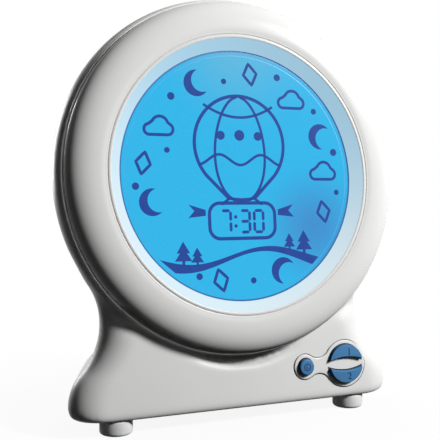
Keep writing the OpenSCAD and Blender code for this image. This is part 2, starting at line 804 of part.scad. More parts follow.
module speaker_clamp() {
  r = speaker_r + fit_gap;
  color("gainsboro") difference() {
    union() {
      turned_at(speaker_h, [[r - 1.6, clamp_s - 1.4], [clamp_r, clamp_s - 1.4],
        [clamp_r, basket_s], [r, basket_s], [r, clamp_s], [r - 1.6, clamp_s]]);
      leaned() for (side = [-1, 1])
        slab(side * clamp_lug_x, speaker_h, 2 * clamp_boss_r + 2, 6, clamp_s - 1.4, back_s - 1.6);
    }
    leaned() for (side = [-1, 1])
      rod(side * clamp_lug_x, speaker_h, key_screw_r + screw_gap, clamp_s - 3, back_s);
  }
}
module speaker_screws() {
  color("silver") leaned() for (side = [-1, 1]) {
    rod(side * clamp_lug_x, speaker_h, key_screw_r + 1.1, clamp_s - 2.9, clamp_s - 1.4);
    rod(side * clamp_lug_x, speaker_h, key_screw_r, clamp_s - 1.41, back_s + 0.9);
  }
}
lead_t = 1.2;
module speaker_wires() {
  top = board_h / 2 - board_drop;
  front = board_s - lead_t / 2;
  color("firebrick") for (x = [-3, 3])
    ribbon([[basket_s - 5, speaker_h - 15.4], [basket_s - 7, speaker_h - 17], [front - 1, top + 5],
      [front, top + 1], [front, top - 3]], x, lead_t, lead_t);
}
module power_jack() {
  bore_y = jack_floor_y - 11.5;
  nose_y = jack_floor_y - 2.2 - seat_gap;
  color("dimgray") difference() {
    union() {
      translate([-4.7, nose_y - jack_body_d, jack_z - 5.6]) cube([9.4, jack_body_d, 11.2]);
      rod_y(0, jack_z, jack_nose_r, nose_y - 1, jack_floor_y - 0.2);
    }
    rod_y(0, jack_z, inlet_dia / 2, bore_y, jack_floor_y + 1);
  }
}
module jack_contact() {
  color("gold") rod_y(0, jack_z, 1, jack_floor_y - 11.5, jack_floor_y - 2);
}
module jack_wires() {
  start = dial_point(jack_floor_y - 2.2 - 3 * seat_gap - jack_body_d, jack_z);
  edge = -board_drop - board_h / 2;
  back = board_s + board_t + lead_t / 2;
  color("firebrick") for (x = [-2.5, 2.5])
    ribbon([start, start + [-4, 0.5], start + [-6, 4], [back, edge - 5], [back, edge + 3]],
           x, lead_t, lead_t);
}

// ---- underside ----

module base_plate() {
  color("gainsboro") difference() {
    translate([0, 0, plate_z]) linear_extrude(plate_t) polygon(plan(plate_lift, wall + fit_gap));
    for (p = foot_spots) translate([p[0], p[1], 0])
      cylinder(r = peg_r + screw_gap, h = 30, $fn = 32);
    for (p = post_spots) translate([p[0], p[1], 0])
      cylinder(r = post_screw_r + screw_gap, h = 30, $fn = 32);
    // Cut back where the button plate's lip hangs down
    leaned() lip(fit_gap);
  }
}
module base_plate_screws() {
  color("silver") for (p = post_spots) translate([p[0], p[1], plate_z]) {
    translate([0, 0, 0.1 - plate_lift]) cylinder(r = post_head_r, h = plate_lift - 0.1, $fn = 32);
    translate([0, 0, -0.01]) cylinder(r = post_screw_r, h = plate_t + post_screw_len, $fn = 32);
  }
}
module foot(i) {
  r = foot_dia / 2;
  lip = 1.4;
  neck_h = foot_h + plate_lift - seat_gap;
  color("white") translate([foot_spots[i][0], foot_spots[i][1], 0]) {
    rotate_extrude() polygon(concat([[0, 0]], arc([r - lip, lip], lip, -90, 0, 5),
      [[r, foot_h - seat_gap], [foot_neck_r, foot_h - seat_gap], [foot_neck_r, neck_h], [0, neck_h]]));
    cylinder(r = peg_r, h = plate_top, $fn = 32);
  }
}
module housing_screws() {
  color("silver") for (p = boss_spots) screw_y(p[0], p[1], screw_head_y, screw_len);
}

front_housing();
rear_housing();
bezel_ring();
light_ring();
display_panel();
diffuser_film();
opal_diffuser();
panel_frame();
panel_screws();
reflector_bowl();
lamp_board();
backlight_lamps();
main_board();
board_chips();
board_link();
board_screws();
display_flex();
button_plate();
round_button();
upper_button();
lower_button();
plunger(0);  // round_plunger
plunger(1);  // upper_plunger
plunger(2);  // lower_plunger
key_board();
key_switches();
key_board_screws();
key_ribbon();
speaker_basket();
speaker_magnet();
speaker_cone();
speaker_clamp();
speaker_screws();
speaker_wires();
power_jack();
jack_contact();
jack_wires();
base_plate();
base_plate_screws();
housing_screws();
foot(0);  // front_left_foot
foot(1);  // front_right_foot
foot(2);  // rear_left_foot
foot(3);  // rear_right_foot
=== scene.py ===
import json
import math

import bmesh
import bpy
from bpy.props import FloatProperty, FloatVectorProperty, IntProperty, PointerProperty
from bpy.types import Operator, Panel, PropertyGroup
from mathutils import Matrix, Vector


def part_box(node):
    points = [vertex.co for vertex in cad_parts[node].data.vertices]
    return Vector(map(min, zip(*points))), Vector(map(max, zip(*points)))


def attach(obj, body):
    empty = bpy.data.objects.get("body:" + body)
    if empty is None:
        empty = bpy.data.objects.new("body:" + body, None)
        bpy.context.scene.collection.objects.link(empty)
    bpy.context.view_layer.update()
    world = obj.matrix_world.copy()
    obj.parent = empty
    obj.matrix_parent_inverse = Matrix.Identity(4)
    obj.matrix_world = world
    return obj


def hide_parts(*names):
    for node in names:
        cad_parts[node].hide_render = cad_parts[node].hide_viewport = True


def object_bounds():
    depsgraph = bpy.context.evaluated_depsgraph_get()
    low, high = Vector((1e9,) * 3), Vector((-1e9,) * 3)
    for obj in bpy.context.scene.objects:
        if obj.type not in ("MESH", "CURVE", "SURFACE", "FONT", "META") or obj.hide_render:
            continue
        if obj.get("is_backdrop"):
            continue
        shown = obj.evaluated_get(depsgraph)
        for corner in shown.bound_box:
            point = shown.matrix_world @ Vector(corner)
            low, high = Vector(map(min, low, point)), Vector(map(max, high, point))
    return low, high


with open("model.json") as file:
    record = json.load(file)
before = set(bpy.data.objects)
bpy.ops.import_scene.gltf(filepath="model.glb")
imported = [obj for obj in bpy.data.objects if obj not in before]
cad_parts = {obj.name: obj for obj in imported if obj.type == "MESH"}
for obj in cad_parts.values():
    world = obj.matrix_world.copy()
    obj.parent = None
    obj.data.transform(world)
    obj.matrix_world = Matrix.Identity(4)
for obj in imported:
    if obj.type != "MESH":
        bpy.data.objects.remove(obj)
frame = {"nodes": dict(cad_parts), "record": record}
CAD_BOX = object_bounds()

bl_info = {
    "name": "Night-light alarm clock",
    "version": (1, 0, 0),
    "blender": (4, 5, 0),
    "location": "View3D > Sidebar > Clock",
    "description": "Models the clock's visible pieces and sets up a small studio",
    "category": "Object",
}

BODY = "clock_body"
MM = 0.001
PRESS_AXIS = Vector(frame["record"]["behaviour"]["joints"][0]["axis"]).normalized()
TILT = math.atan2(-PRESS_AXIS.z, PRESS_AXIS.y)

# How far the bezel's rim and the button plate stand before the housing's face
RIM_LIFT = 0.4 * MM
# The bezel ends this far inside its radius, and the housing starts this far outside it
SEAM = 0.5 * MM
# How far below the dial's middle the stand's loft ends, inside the head
STAND_TOP = 42 * MM
# Cuts run this far past the faces that they open
PAST = MM
# Half size of the boxes that part the housings, well past the clock
FAR = 300 * MM
# Housing screws: shank, well of the head, post round the shank, tube round the well
SHANK_R, WELL_R, POST_R, TUBE_R = 1.6 * MM, 3.2 * MM, 3.5 * MM, 4.7 * MM
# Their length, the seat of their heads behind the parting plane, and a well's length past the back
SCREW_LENGTH, HEAD_SEAT, WELL_LENGTH = 17 * MM, 5 * MM, 60 * MM
# Rolled edge on either side of the groove between bezel and light ring: radius and depth
LIP, GROOVE_S = 0.8 * MM, -0.38 * MM
# How far the bezel's crown dips from its crest to that lip
DISH = 0.28 * MM
# Where the groove's two walls end inside
GROOVE_END = 2.6 * MM
# Front of the lit disc, behind the display's depth
SCREEN_LIFT = 0.15 * MM
# Printed lines and marks stand this proud, and a button's marks reach this deep
PRINT_OUT, MARK_IN = 0.04 * MM, 0.1 * MM
# Steps of the turned pieces that show large
FINE = 224


def linear(code):
    """An sRGB hex code as linear red, green and blue."""
    values = [int(code[i : i + 2], 16) / 255 for i in (0, 2, 4)]
    return tuple(v / 12.92 if v <= 0.04045 else ((v + 0.055) / 1.055) ** 2.4 for v in values)


# ---- sizes and colours that a user may change ----


def length(name, description, default):
    return FloatProperty(name=name, description=description, default=default, min=0, unit="LENGTH")


def lean(name, description, degrees):
    return FloatProperty(
        name=name, description=description, default=math.radians(degrees), subtype="ANGLE"
    )


def paint(name, description, code):
    return FloatVectorProperty(
        name=name, description=description, default=linear(code), min=0, max=1, subtype="COLOR"
    )


class ClockSizes(PropertyGroup):
    opening_r: length("Bezel opening", "Radius of the round opening in the bezel", 0.0588)
    bezel_r: length("Bezel", "Outer radius of the bezel ring at its seam", 0.075)
    bezel_crown: length("Bezel crown", "How far the crown stands in front of the rim", 0.0009)
    bezel_skin: length("Bezel skin", "Thickness of the bezel skin", 0.0022)
    display_r: length("Lit disc", "Radius of the lit disc that shows", 0.0528)
    display_s: length("Display depth", "Depth of the display behind the bezel rim", 0.0042)
    display_t: length("Display thickness", "Thickness of the display", 0.0026)
    head_r: length("Head", "Largest radius of the head", 0.0772)
    head_depth: length("Head depth", "Depth of the head from rim to back", 0.045)
    face_s: length("Face depth", "Depth of the body's front face behind the rim", 0.0078)
    shoulder_r: length("Shoulder", "Swell of the head's side behind the seam", 0.012)
    back_edge_r: length("Back edge", "Rounding of the head's back edge", 0.014)
    side_taper: lean("Head taper", "Narrowing of the head towards its back", 14)
    stand_w: length("Stand width", "Width of the stand at its foot", 0.1458)
    waist_w: length("Waist width", "Width of the waist under the head", 0.1182)
    waist_height: length("Waist height", "Height of the waist above the table", 0.044)
    stand_d: length("Stand depth", "Depth of the stand at its foot", 0.059)
    waist_d: length("Waist depth", "Depth of the waist", 0.042)
    corner_w: length("Corner width", "Rounding of the front corners along the front", 0.013)
    corner_d: length("Corner depth", "Rounding of the front corners along the sides", 0.010)
    rear_corner_r: length("Rear corners", "Rounding of the rear corners", 0.014)
    stand_taper: lean("Stand taper", "Narrowing of the stand towards its back", 20)
    edge_r: length("Lower edge", "Rounding of the lower edge", 0.0044)
    flare_r: length("Flare", "Radius of the outward curve above the foot", 0.0186)
    neck_open_r: length("Neck", "Radius of the curve from the waist up to the head", 0.027)
    cove_low: length("Cove, middle", "Lowest point of the face's edge below the dial", 0.0802)
    cove_top: length("Cove, sides", "Height of the face's edge at the neck", 0.0588)
    cove_reach: length("Cove reach", "Half the width over which that edge dips", 0.058)
    cove_d: length("Cove depth", "Depth of the cove", 0.0052)
    wall: length("Wall", "Wall thickness of the housings", 0.0024)
    split_d: length("Parting", "Where the housings part, behind the stand's front", 0.026)
    button_height: length("Button height", "Height of the buttons above the table", 0.021)
    round_x: length("Round button", "Distance of the round button from the middle", 0.0283)
    pair_x: length("Button pair", "Distance of the pair from the middle", 0.048)
    round_dia: length("Round diameter", "Diameter of the round button", 0.007)
    pair_dia: length("Pair diameter", "Diameter across the pair", 0.0166)
    bar_mid: length("Bar middle", "Height of the bar between the pair at its middle", 0.0060)
    bar_end: length("Bar end", "Height of the bar at its ends", 0.003)
    button_out: length("Button stand", "How far the buttons stand out of their plate", 0.0018)
    margin: length("Plate margin", "White margin of the plate round each button", 0.0019)
    neck_r: length("Plate hollows", "Radius of the hollows in the plate's waist", 0.006)
    gap: length("Gap", "Gap round the buttons and their plate", 0.0003)
    voxel: length("Blend grain", "Grain of the mesh that blends head and stand", 0.0009)
    blend_rounds: IntProperty(
        name="Blend rounds", description="Smoothing rounds of that mesh", default=14, min=0
    )


class ClockColours(PropertyGroup):
    shell: paint("Shell", "Glossy white of bezel and housings", "E3E3E2")
    lit: paint("Lit screen", "Cyan of the lit screen", "36BCF1")
    lit_low: paint("Lit screen, low right", "Bluer part of the lit screen", "4696D7")
    # Painted reflection: a greyer, whiter patch painted at the top of the lit screen
    lit_top_painted_reflection: paint("Lit screen, top", "Greyer part of the lit screen at its top", "66BEE4")
    ink: paint("Ink", "Navy of the picture and the digits", "2F50A4")
    # This colour is a painted reflection of the screen's edge line, inside it
    painted_edge_reflection: paint("Painted screen-edge reflection", "Faint ring inside the screen's edge", "36A8DF")
    # This colour is the painted shadow line round the lit screen
    rim: paint("Screen edge", "Blue line round the lit screen", "1F66A6")
    # The light ring's two tints are painted light and shade: paler at the bottom and left, cooler
    # and darker at the top and right
    ring_painted_shade: paint("Ring, cool side", "Light ring at the top and right", "A9D2E8")
    ring_painted_light: paint("Ring, pale side", "Light ring at the bottom and left", "D6E8F0")
    button: paint("Buttons", "Blue of the buttons", "487CAA")
    glyph: paint("Button marks", "Dark blue of the marks on the buttons", "1E4170")
    rubber: paint("Feet", "Pale rubber of the feet", "E6E6E6")


# ---- modelling helpers ----


def deselect():
    if bpy.context.object and bpy.context.object.mode != "OBJECT":
        bpy.ops.object.mode_set(mode="OBJECT")
    bpy.ops.object.select_all(action="DESELECT")


def only(obj):
    deselect()
    obj.select_set(True)
    bpy.context.view_layer.objects.active = obj


def open_mesh(obj, action="SELECT"):
    only(obj)
    bpy.ops.object.mode_set(mode="EDIT")
    bpy.ops.mesh.select_all(action=action)


def outline(name, points):
    """A circle primitive whose corners are moved onto the points in order."""
    deselect()
    bpy.ops.mesh.primitive_circle_add(vertices=len(points), radius=MM)
    obj = bpy.context.object
    obj.name = name
    for corner, point in zip(obj.data.vertices, points):
        corner.co = point
    return obj


def closed_up(obj):
    """Merges doubles and turns every face outwards."""
    open_mesh(obj)
    bpy.ops.mesh.remove_doubles(threshold=MM / 1000)
    bpy.ops.mesh.normals_make_consistent(inside=False)
    bpy.ops.object.mode_set(mode="OBJECT")
    return obj


def turned(name, profile, steps=160):
    """Spins a closed profile of (radius, depth) about the dial's axis, which is Y here."""
    obj = outline(name, [(r, s, 0) for r, s in profile])
    open_mesh(obj)
    bpy.ops.mesh.spin(steps=steps, angle=math.tau, center=(0, 0, 0), axis=(0, 1, 0))
    return closed_up(obj)


def raised(name, points, start, end):
    """Extrudes a closed outline of (x, h) on the dial from depth start to depth end."""
    obj = outline(name, [(x, start, h) for x, h in points])
    open_mesh(obj)
    bpy.ops.mesh.edge_face_add()
    bpy.ops.mesh.extrude_region_move(TRANSFORM_OT_translate={"value": (0, end - start, 0)})
    return closed_up(obj)


def band(name, points, width, start, end):
    """Raises a closed line of even width: two outlines bridged, then extruded."""
    outer, inner = both_sides(points, width)
    ring = outline(name, [(x, start, h) for x, h in outer])
    hole = outline(name, [(x, start, h) for x, h in inner])
    obj = joined([ring, hole])
    open_mesh(obj)
    bpy.ops.mesh.bridge_edge_loops()
    bpy.ops.mesh.select_all(action="SELECT")
    bpy.ops.mesh.extrude_region_move(TRANSFORM_OT_translate={"value": (0, end - start, 0)})
    return closed_up(obj)


def sideways(before, after, width):
    """Half the width, square to the way from one point to another."""
    dx, dy = after[0] - before[0], after[1] - before[1]
    size = math.hypot(dx, dy)
    return -dy / size * width / 2, dx / size * width / 2


def both_sides(points, width):
    """The two edges of a closed line of even width."""
    count = len(points)
    outer, inner = [], []
    for i, (x, y) in enumerate(points):
        nx, ny = sideways(points[i - 1], points[(i + 1) % count], width)
        outer.append((x + nx, y + ny))
        inner.append((x - nx, y - ny))
    return outer, inner


def lofted(name, rings):
    """Extrudes the first ring up through the others, which have as many corners."""
    obj = outline(name, rings[0])
    open_mesh(obj)
    bpy.ops.mesh.edge_face_add()
    for ring in rings[1:]:
        bpy.ops.mesh.extrude_region_move()
        mesh = bmesh.from_edit_mesh(obj.data)
        mesh.verts.ensure_lookup_table()
        for corner, point in zip(mesh.verts[-len(ring) :], ring):
            corner.co = point
    return closed_up(obj)


def with_modifier(obj, kind, **settings):
    """Adds a modifier, sets it and applies it."""
    only(obj)
    modifier = obj.modifiers.new(kind.title(), kind)
    for key, value in settings.items():
        setattr(modifier, key, value)
    bpy.ops.object.modifier_apply(modifier=modifier.name)
    return obj


def carved(obj, cutter, operation="DIFFERENCE"):
    """Cuts a piece with another, which goes away."""
    with_modifier(obj, "BOOLEAN", object=cutter, operation=operation, solver="EXACT")
    bpy.data.objects.remove(cutter)
    return obj


def joined(objs):
    """Joins pieces into the first of them."""
    only(objs[0])
    for obj in objs:
        obj.select_set(True)
    bpy.ops.object.join()
    return objs[0]


def softened(obj, width):
    """Rounds the edges that are sharper than 60 degrees."""
    return with_modifier(
        obj, "BEVEL", width=width, segments=4, limit_method="ANGLE",
        angle_limit=math.radians(60), harden_normals=False,
    )


def placed(obj, matrix):
    """Moves a piece from the dial's own axes to its place, and applies the move."""
    only(obj)
    obj.matrix_world = matrix
    bpy.ops.object.transform_apply(location=True, rotation=True, scale=True)
    return obj


def rod_y(name, x, z, radius, y0, y1):
    """A rod along Y."""
    deselect()
    bpy.ops.mesh.primitive_cylinder_add(
        vertices=48, radius=radius, depth=y1 - y0,
        location=(x, (y0 + y1) / 2, z), rotation=(math.pi / 2, 0, 0),
    )
    obj = bpy.context.object
    obj.name = name
    bpy.ops.object.transform_apply(location=True, rotation=True, scale=True)
    return obj


def block(name, low, high):
    """A box between two corners."""
    deselect()
    bpy.ops.mesh.primitive_cube_add(size=1)
    obj = bpy.context.object
    obj.name = name
    obj.scale = [b - a for a, b in zip(low, high)]
    obj.location = [(a + b) / 2 for a, b in zip(low, high)]
    bpy.ops.object.transform_apply(location=True, rotation=True, scale=True)
    return obj


def finished(obj, material, replaces=(), body=BODY, angle=35):
    """Smooths a piece, gives it its material and ties it to the frame."""
    obj.data.materials.clear()
    obj.data.materials.append(material)
    only(obj)
    bpy.ops.object.shade_smooth_by_angle(angle=math.radians(angle))
    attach(obj, body)
    if replaces:
        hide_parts(*replaces)
    return obj


# ---- outlines ----


def arc(centre, radius, a0, a1, steps):
    """Points along an arc, with angles in degrees."""
    turns = [math.radians(a0 + (a1 - a0) * i / steps) for i in range(steps + 1)]
    return [(centre[0] + radius * math.cos(t), centre[1] + radius * math.sin(t)) for t in turns]


def oval(centre, a, b, a0, a1, steps):
    """Points along a quarter of an oval whose angle 90 points to the front."""
    turns = [math.radians(a0 + (a1 - a0) * i / steps) for i in range(steps + 1)]
    return [(centre[0] + a * math.cos(t), centre[1] - b * math.sin(t)) for t in turns]


def crown(centre, a, b, a0, a1, steps):
    """Points along a crown that is flatter on top and steeper at its side than an oval."""
    points = []
    fullness = 2.3
    for x, y in oval((0, 0), 1, 1, a0, a1, steps):
        size = (abs(x) ** fullness + abs(y) ** fullness) ** (1 / fullness)
        points.append((centre[0] + a * x / size, centre[1] + b * y / size))
    return points


class Body:
    """The shape of the housings: a turned head that runs into a flared stand."""

    def __init__(self, sizes):
        self.s = s = sizes
        low, high = (Vector(corner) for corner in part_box("display_panel"))
        self.dial = (low + high) / 2 - PRESS_AXIS * (s.display_s + s.display_t / 2)
        self.matrix = Matrix.Translation(self.dial) @ Matrix.Rotation(-TILT, 4, "X")
        self.stand_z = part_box("front_housing")[0][2]
        self.front_y = (
            self.dial.y + s.face_s / math.cos(TILT) - (self.dial.z - self.stand_z) * math.tan(TILT)
        )
        self.heel_y = self.front_y + s.stand_d
        self.split_y = self.front_y + s.split_d
        self.waist_rise = s.waist_height - self.stand_z - s.edge_r

    def head_section(self, inset=0.0, fine=1):
        """Half section of the head: flat front, swelling side, rounded back edge."""
        s = self.s
        taper = math.degrees(s.side_taper)
        tilt = s.side_taper
        cx = s.head_r - s.shoulder_r
        drop = math.sqrt(s.shoulder_r**2 - (s.bezel_r + SEAM - cx) ** 2)
        cs = s.face_s + drop
        start = -math.degrees(math.asin((drop - inset) / (s.shoulder_r - inset)))
        fall = s.shoulder_r - s.back_edge_r
        run = (s.head_depth - s.back_edge_r - cs - fall * math.sin(tilt)) / math.cos(tilt)
        back = (
            cx + fall * math.cos(tilt) - run * math.sin(tilt),
            cs + fall * math.sin(tilt) + run * math.cos(tilt),
        )
        return (
            [(0, s.face_s + inset)]
            + arc((cx, cs), s.shoulder_r - inset, start, taper, 8 * fine)
            + arc(back, s.back_edge_r - inset, taper, 90, 6 * fine)
            + [(0, s.head_depth - inset)]
        )

    def flare(self, h, edge, waist):
        """Half width or reach at height h: an outward curve at the foot, an inward one above."""
        rise = self.waist_rise
        fall = edge - waist
        both = (fall * fall + rise * rise) / (2 * fall)
        least_r = 8 * MM
        r1 = min(self.s.flare_r, both - least_r)
        r2 = both - r1
        bend = rise / both
        k = h - self.s.edge_r
        if k <= 0:
            return edge
        if k < r1 * bend:
            return edge - r1 + math.sqrt(r1 * r1 - k * k)
        if k < rise:
            return waist + r2 - math.sqrt(r2 * r2 - (rise - k) ** 2)
        return waist

    def lower_edge(self, h, radius):
        """How far the rounding at the foot draws in at height h."""
        return radius - math.sqrt(radius**2 - (radius - h) ** 2) if h < radius else 0

    def half_width(self, h):
        """Half the stand's width at height h, with the neck that opens up to the head."""
        s = self.s
        k = max(0.0, h - self.waist_rise - s.edge_r)
        opened = s.neck_open_r - math.sqrt(s.neck_open_r**2 - k * k)
        flare = self.flare(h, s.stand_w / 2, s.waist_w / 2)
        return flare + opened - self.lower_edge(h, s.edge_r)

    def half_plan(self, h, inset, fine):
        """Right half of the stand's outline at height h, from the front to the back."""
        s = self.s
        w = self.half_width(h)
        face_y = self.front_y + h * math.tan(TILT) + self.lower_edge(h, s.edge_r / 2)
        rear_y = self.front_y + self.flare(h, s.stand_d, s.waist_d) - self.lower_edge(h, s.edge_r)
        tx, ty = math.cos(s.stand_taper), math.sin(s.stand_taper)
        cx, cy = w - s.corner_w, face_y + s.corner_d
        rw, rd = s.corner_w - inset, s.corner_d - inset
        ridge = (cx + rw * tx, cy + rd * ty)
        r = s.rear_corner_r - inset
        rear_cy = rear_y - s.rear_corner_r
        start_y = rear_cy + r * ty
        rear_cx = ridge[0] - (start_y - ridge[1]) * math.tan(s.stand_taper) - r * tx
        front = [
            (cx + rw * math.cos(a), cy - rd * math.sin(a))
            for a in (math.radians(90 - 90 * i / (6 * fine)) for i in range(6 * fine + 1))
        ]
        rear = arc((rear_cx, rear_cy), r, math.degrees(s.stand_taper), 90, 5 * fine)
        return front + [ridge] + rear

    def plan(self, h, inset=0.0, fine=1):
        right = self.half_plan(h, inset, fine)
        return right + [(-x, y) for x, y in reversed(right)]

    def stand_rings(self, inset=0.0, fine=1, below=0.0):
        """Outlines of the stand from its foot up into the head."""
        edge = self.s.edge_r
        top = self.dial.z - STAND_TOP - self.stand_z
        heights = [edge * (1 - math.cos(math.radians(15 * i))) for i in range(6)]
        steps = 12 * fine
        heights += [edge + (top - edge) * i / steps for i in range(steps + 1)]
        rings = [
            [(x, y, self.stand_z + h) for x, y in self.plan(h, inset, fine)] for h in heights
        ]
        if below:
            rings.insert(0, [(x, y, z - below) for x, y, z in rings[0]])
        return rings

    def face_top(self, x):
        """Where the stand's face ends under the head: a dip that is deepest in the middle."""
        s = self.s
        dip = 0.5 + 0.5 * math.cos(math.pi * min(1.0, abs(x) / s.cove_reach))
        return -s.cove_top - (s.cove_low - s.cove_top) * dip**0.8

    def cove_rings(self, inset=0.0):
        """Outlines of the cut above the face's edge, from the front to the cut's floor."""
        s = self.s
        side, reach, half = s.head_r + 8 * MM, 20 * MM, 24
        rings = []
        # Depth as a share of the cove's, and how far the edge has risen there, in mm
        for share, lift in ((None, 0), (0.0, 0), (0.5, 0.4), (0.85, 1.4), (1.0, 3.0)):
            deep = s.face_s + inset + (-reach if share is None else share * s.cove_d)
            edge = [side * (i / half - 1) for i in range(2 * half + 1)]
            ring = [(x, deep, self.face_top(x) - inset + lift * MM) for x in edge]
            rings.append(ring + [(side, deep, -reach), (-side, deep, -reach)])
        return rings


def plate_outline(s, grow, fine=1):
    """Plate round the buttons: two discs joined by a waist, drawn outwards by grow."""
    r1, r2 = s.round_dia / 2 + s.margin, s.pair_dia / 2 + s.margin
    d = s.pair_x - s.round_x
    xc = (d * d - (r2 - r1) * (r1 + r2 + 2 * s.neck_r)) / (2 * d)
    yc = math.sqrt((r1 + s.neck_r) ** 2 - xc * xc)
    a1, a2 = math.degrees(math.atan2(yc, xc)), math.degrees(math.atan2(yc, xc - d))
    points = (
        arc((0, 0), r1 + grow, a1, 360 - a1, 28 * fine)
        + arc((xc, -yc), s.neck_r - grow, 180 - a1, 180 - a2, 10 * fine)[1:]
        + arc((d, 0), r2 + grow, -a2, a2, 36 * fine)[1:]
        + arc((xc, yc), s.neck_r - grow, a2 - 180, a1 - 180, 10 * fine)[1:-1]
    )
    row = button_row(s)
    return [(s.round_x + x, row + h) for x, h in points]


def button_row(s):
    """Height of the button row on the dial's own axes."""
    dial_z = Body(s).dial.z
    return (s.button_height - dial_z + s.face_s * math.sin(TILT)) / math.cos(TILT)


def round_outline(s, grow):
    """The round button's edge, drawn outwards by grow."""
    points = arc((s.round_x, button_row(s)), s.round_dia / 2 + grow, 0, 360, 48)
    return points[:-1]


KEYS = ("round", "upper", "lower")


def key_outline(s, name, grow=0.0):
    """The edge of one of the three buttons."""
    if name == "round":
        return round_outline(s, grow)
    return half_outline(s, 1 if name == "upper" else -1, grow)


def half_outline(s, side, grow):
    """One half of the pair: side is 1 for the upper one and -1 for the lower one."""
    r = s.pair_dia / 2 + grow
    sag = (s.bar_mid - s.bar_end) / 2
    bar_r = ((s.pair_dia / 2) ** 2 + sag * sag) / (2 * sag) - grow
    centre = s.bar_mid / 2 - bar_r - grow
    reach = (r * r - bar_r * bar_r + centre * centre) / (2 * centre)
    across = math.sqrt(r * r - reach * reach)
    a = math.degrees(math.asin(reach / r))
    b = math.degrees(math.atan2(reach - centre, across))
    over = arc((0, 0), r, a, 180 - a, 40)
    under = arc((0, centre), bar_r, 180 - b, b, 16)[1:-1]
    row = button_row(s)
    return [(s.pair_x + x, row + side * h) for x, h in over + under]


# ---- materials ----


def new_material(name):
    material = bpy.data.materials.new(name)
    material.use_nodes = True
    material.node_tree.nodes.clear()
    return material, material.node_tree


def add(tree, kind, values=None, links=None, **settings):
    """Adds a node, sets its properties and sockets, and links sockets from other nodes."""
    made = tree.nodes.new(kind)
    for key, value in settings.items():
        setattr(made, key, value)
    for key, value in (values or {}).items():
        made.inputs[key].default_value = value
    for key, source in (links or {}).items():
        tree.links.new(source, made.inputs[key])
    return made


def rgba(colour):
    return (*colour, 1.0)


def shaded(tree, values, links):
    """Closes a material with a Principled shader."""
    shader = add(tree, "ShaderNodeBsdfPrincipled", values, links)
    add(tree, "ShaderNodeOutputMaterial", links={"Surface": shader.outputs["BSDF"]})
    return shader


def mottled(tree, vector, patch, low, high):
    """A noise that blends one colour into another over patches of the given size."""
    noise = add(
        tree, "ShaderNodeTexNoise", {"Scale": 1 / patch, "Detail": 2.0}, {"Vector": vector}
    )
    ramp = add(tree, "ShaderNodeValToRGB", links={"Fac": noise.outputs["Fac"]})
    ramp.color_ramp.elements[0].position = 0.3
    ramp.color_ramp.elements[0].color = rgba(low)
    ramp.color_ramp.elements[1].position = 0.7
    ramp.color_ramp.elements[1].color = rgba(high)
    return ramp.outputs["Color"]


def grained(tree, vector, size, depth):
    """A bump of the given grain size and depth, in metres."""
    noise = add(
        tree, "ShaderNodeTexNoise", {"Scale": 1 / size, "Detail": 3.0}, {"Vector": vector}
    )
    bump = add(
        tree, "ShaderNodeBump", {"Strength": 1.0, "Distance": depth},
        {"Height": noise.outputs["Fac"]},
    )
    return bump.outputs["Normal"]


def ranged(tree, source, low, high):
    """Maps 0..1 to low..high."""
    scaled = add(tree, "ShaderNodeMapRange", {"To Min": low, "To Max": high}, {"Value": source})
    return scaled.outputs["Result"]


def tinted(colour, factor):
    return tuple(min(1.0, max(0.0, c * factor)) for c in colour)


def surfaced(name, values, low, high, patch, grain, rough=None, spots=0.02):
    """A surface whose colour, and where asked its sheen, drift over patches, with a fine grain."""
    material, tree = new_material(name)
    here = add(tree, "ShaderNodeTexCoord").outputs["Object"]
    links = {
        "Base Color": mottled(tree, here, patch, low, high),
        "Normal": grained(tree, here, *grain),
    }
    if rough:
        blotch = add(tree, "ShaderNodeTexNoise", {"Scale": 1 / spots}, {"Vector": here})
        links["Roughness"] = ranged(tree, blotch.outputs["Fac"], *rough)
    shaded(tree, values, links)
    return material


def glossy_abs(colour, name="Glossy moulded ABS"):
    """Polished-tool ABS: a soft sheen, and a faint orange peel that wobbles reflections."""
    # Orange peel of polished moulding is 2 to 3 mm across
    return surfaced(
        name, {"IOR": 1.50, "Specular IOR Level": 0.14}, tinted(colour, 0.975), colour, 0.04,
        (2.5 * MM, 0.006 * MM), (0.20, 0.27), spots=0.03,
    )


def rib_abs_painted_highlight(colour):
    """A thin rib off a polished tool: it catches the light as one bright line, helped by a painted
    highlight in a colour whiter than the shell's.
    """
    return surfaced(
        "Polished ABS rib, painted highlight",
        {"IOR": 1.5, "Specular IOR Level": 1.0, "Roughness": 0.12, "Coat Weight": 1.0},
        # Painted highlight: the rib's colour is whiter than the shell's
        tinted(colour, 1.1), tinted(colour, 1.15), 0.04, (2.5 * MM, 0.004 * MM),
    )


def satin_abs(colour, name="Satin moulded ABS", rough=(0.34, 0.42)):
    """Finely blasted tool: the grain is drawn at 0.5 mm, coarser than the real 0.1 mm, to show."""
    return surfaced(
        name, {"IOR": 1.50, "Specular IOR Level": 0.12}, tinted(colour, 0.97), colour, 0.035,
        (0.5 * MM, 0.004 * MM), rough,
    )


def rubber_material(colour):
    """Silicone rubber foot: matt, with a powdery sheen at the edges and fine dust specks."""
    return surfaced(
        "Silicone rubber foot", {"IOR": 1.41, "Roughness": 0.55, "Sheen Weight": 0.1},
        tinted(colour, 0.93), colour, 0.006, (0.4 * MM, 0.01 * MM),
    )


def plain_plastic(name, code, rough, grain=0.5, depth=0.01):
    """Moulded plastic of an inner piece: low sheen, fine tool grain, slight unevenness."""
    colour = linear(code)
    return surfaced(
        name, {"IOR": 1.5, "Roughness": rough}, tinted(colour, 0.88), colour, 0.008,
        (grain * MM, depth * MM),
    )


def on_the_dial(tree, body):
    """Object coordinates turned to the dial's own axes: x right, y back, z up the dial."""
    here = add(tree, "ShaderNodeTexCoord")
    turned_to = add(
        tree, "ShaderNodeMapping",
        {"Location": body.dial, "Rotation": (-TILT, 0, 0)},
        {"Vector": here.outputs["Object"]},
        vector_type="TEXTURE",
    )
    return turned_to.outputs["Vector"]


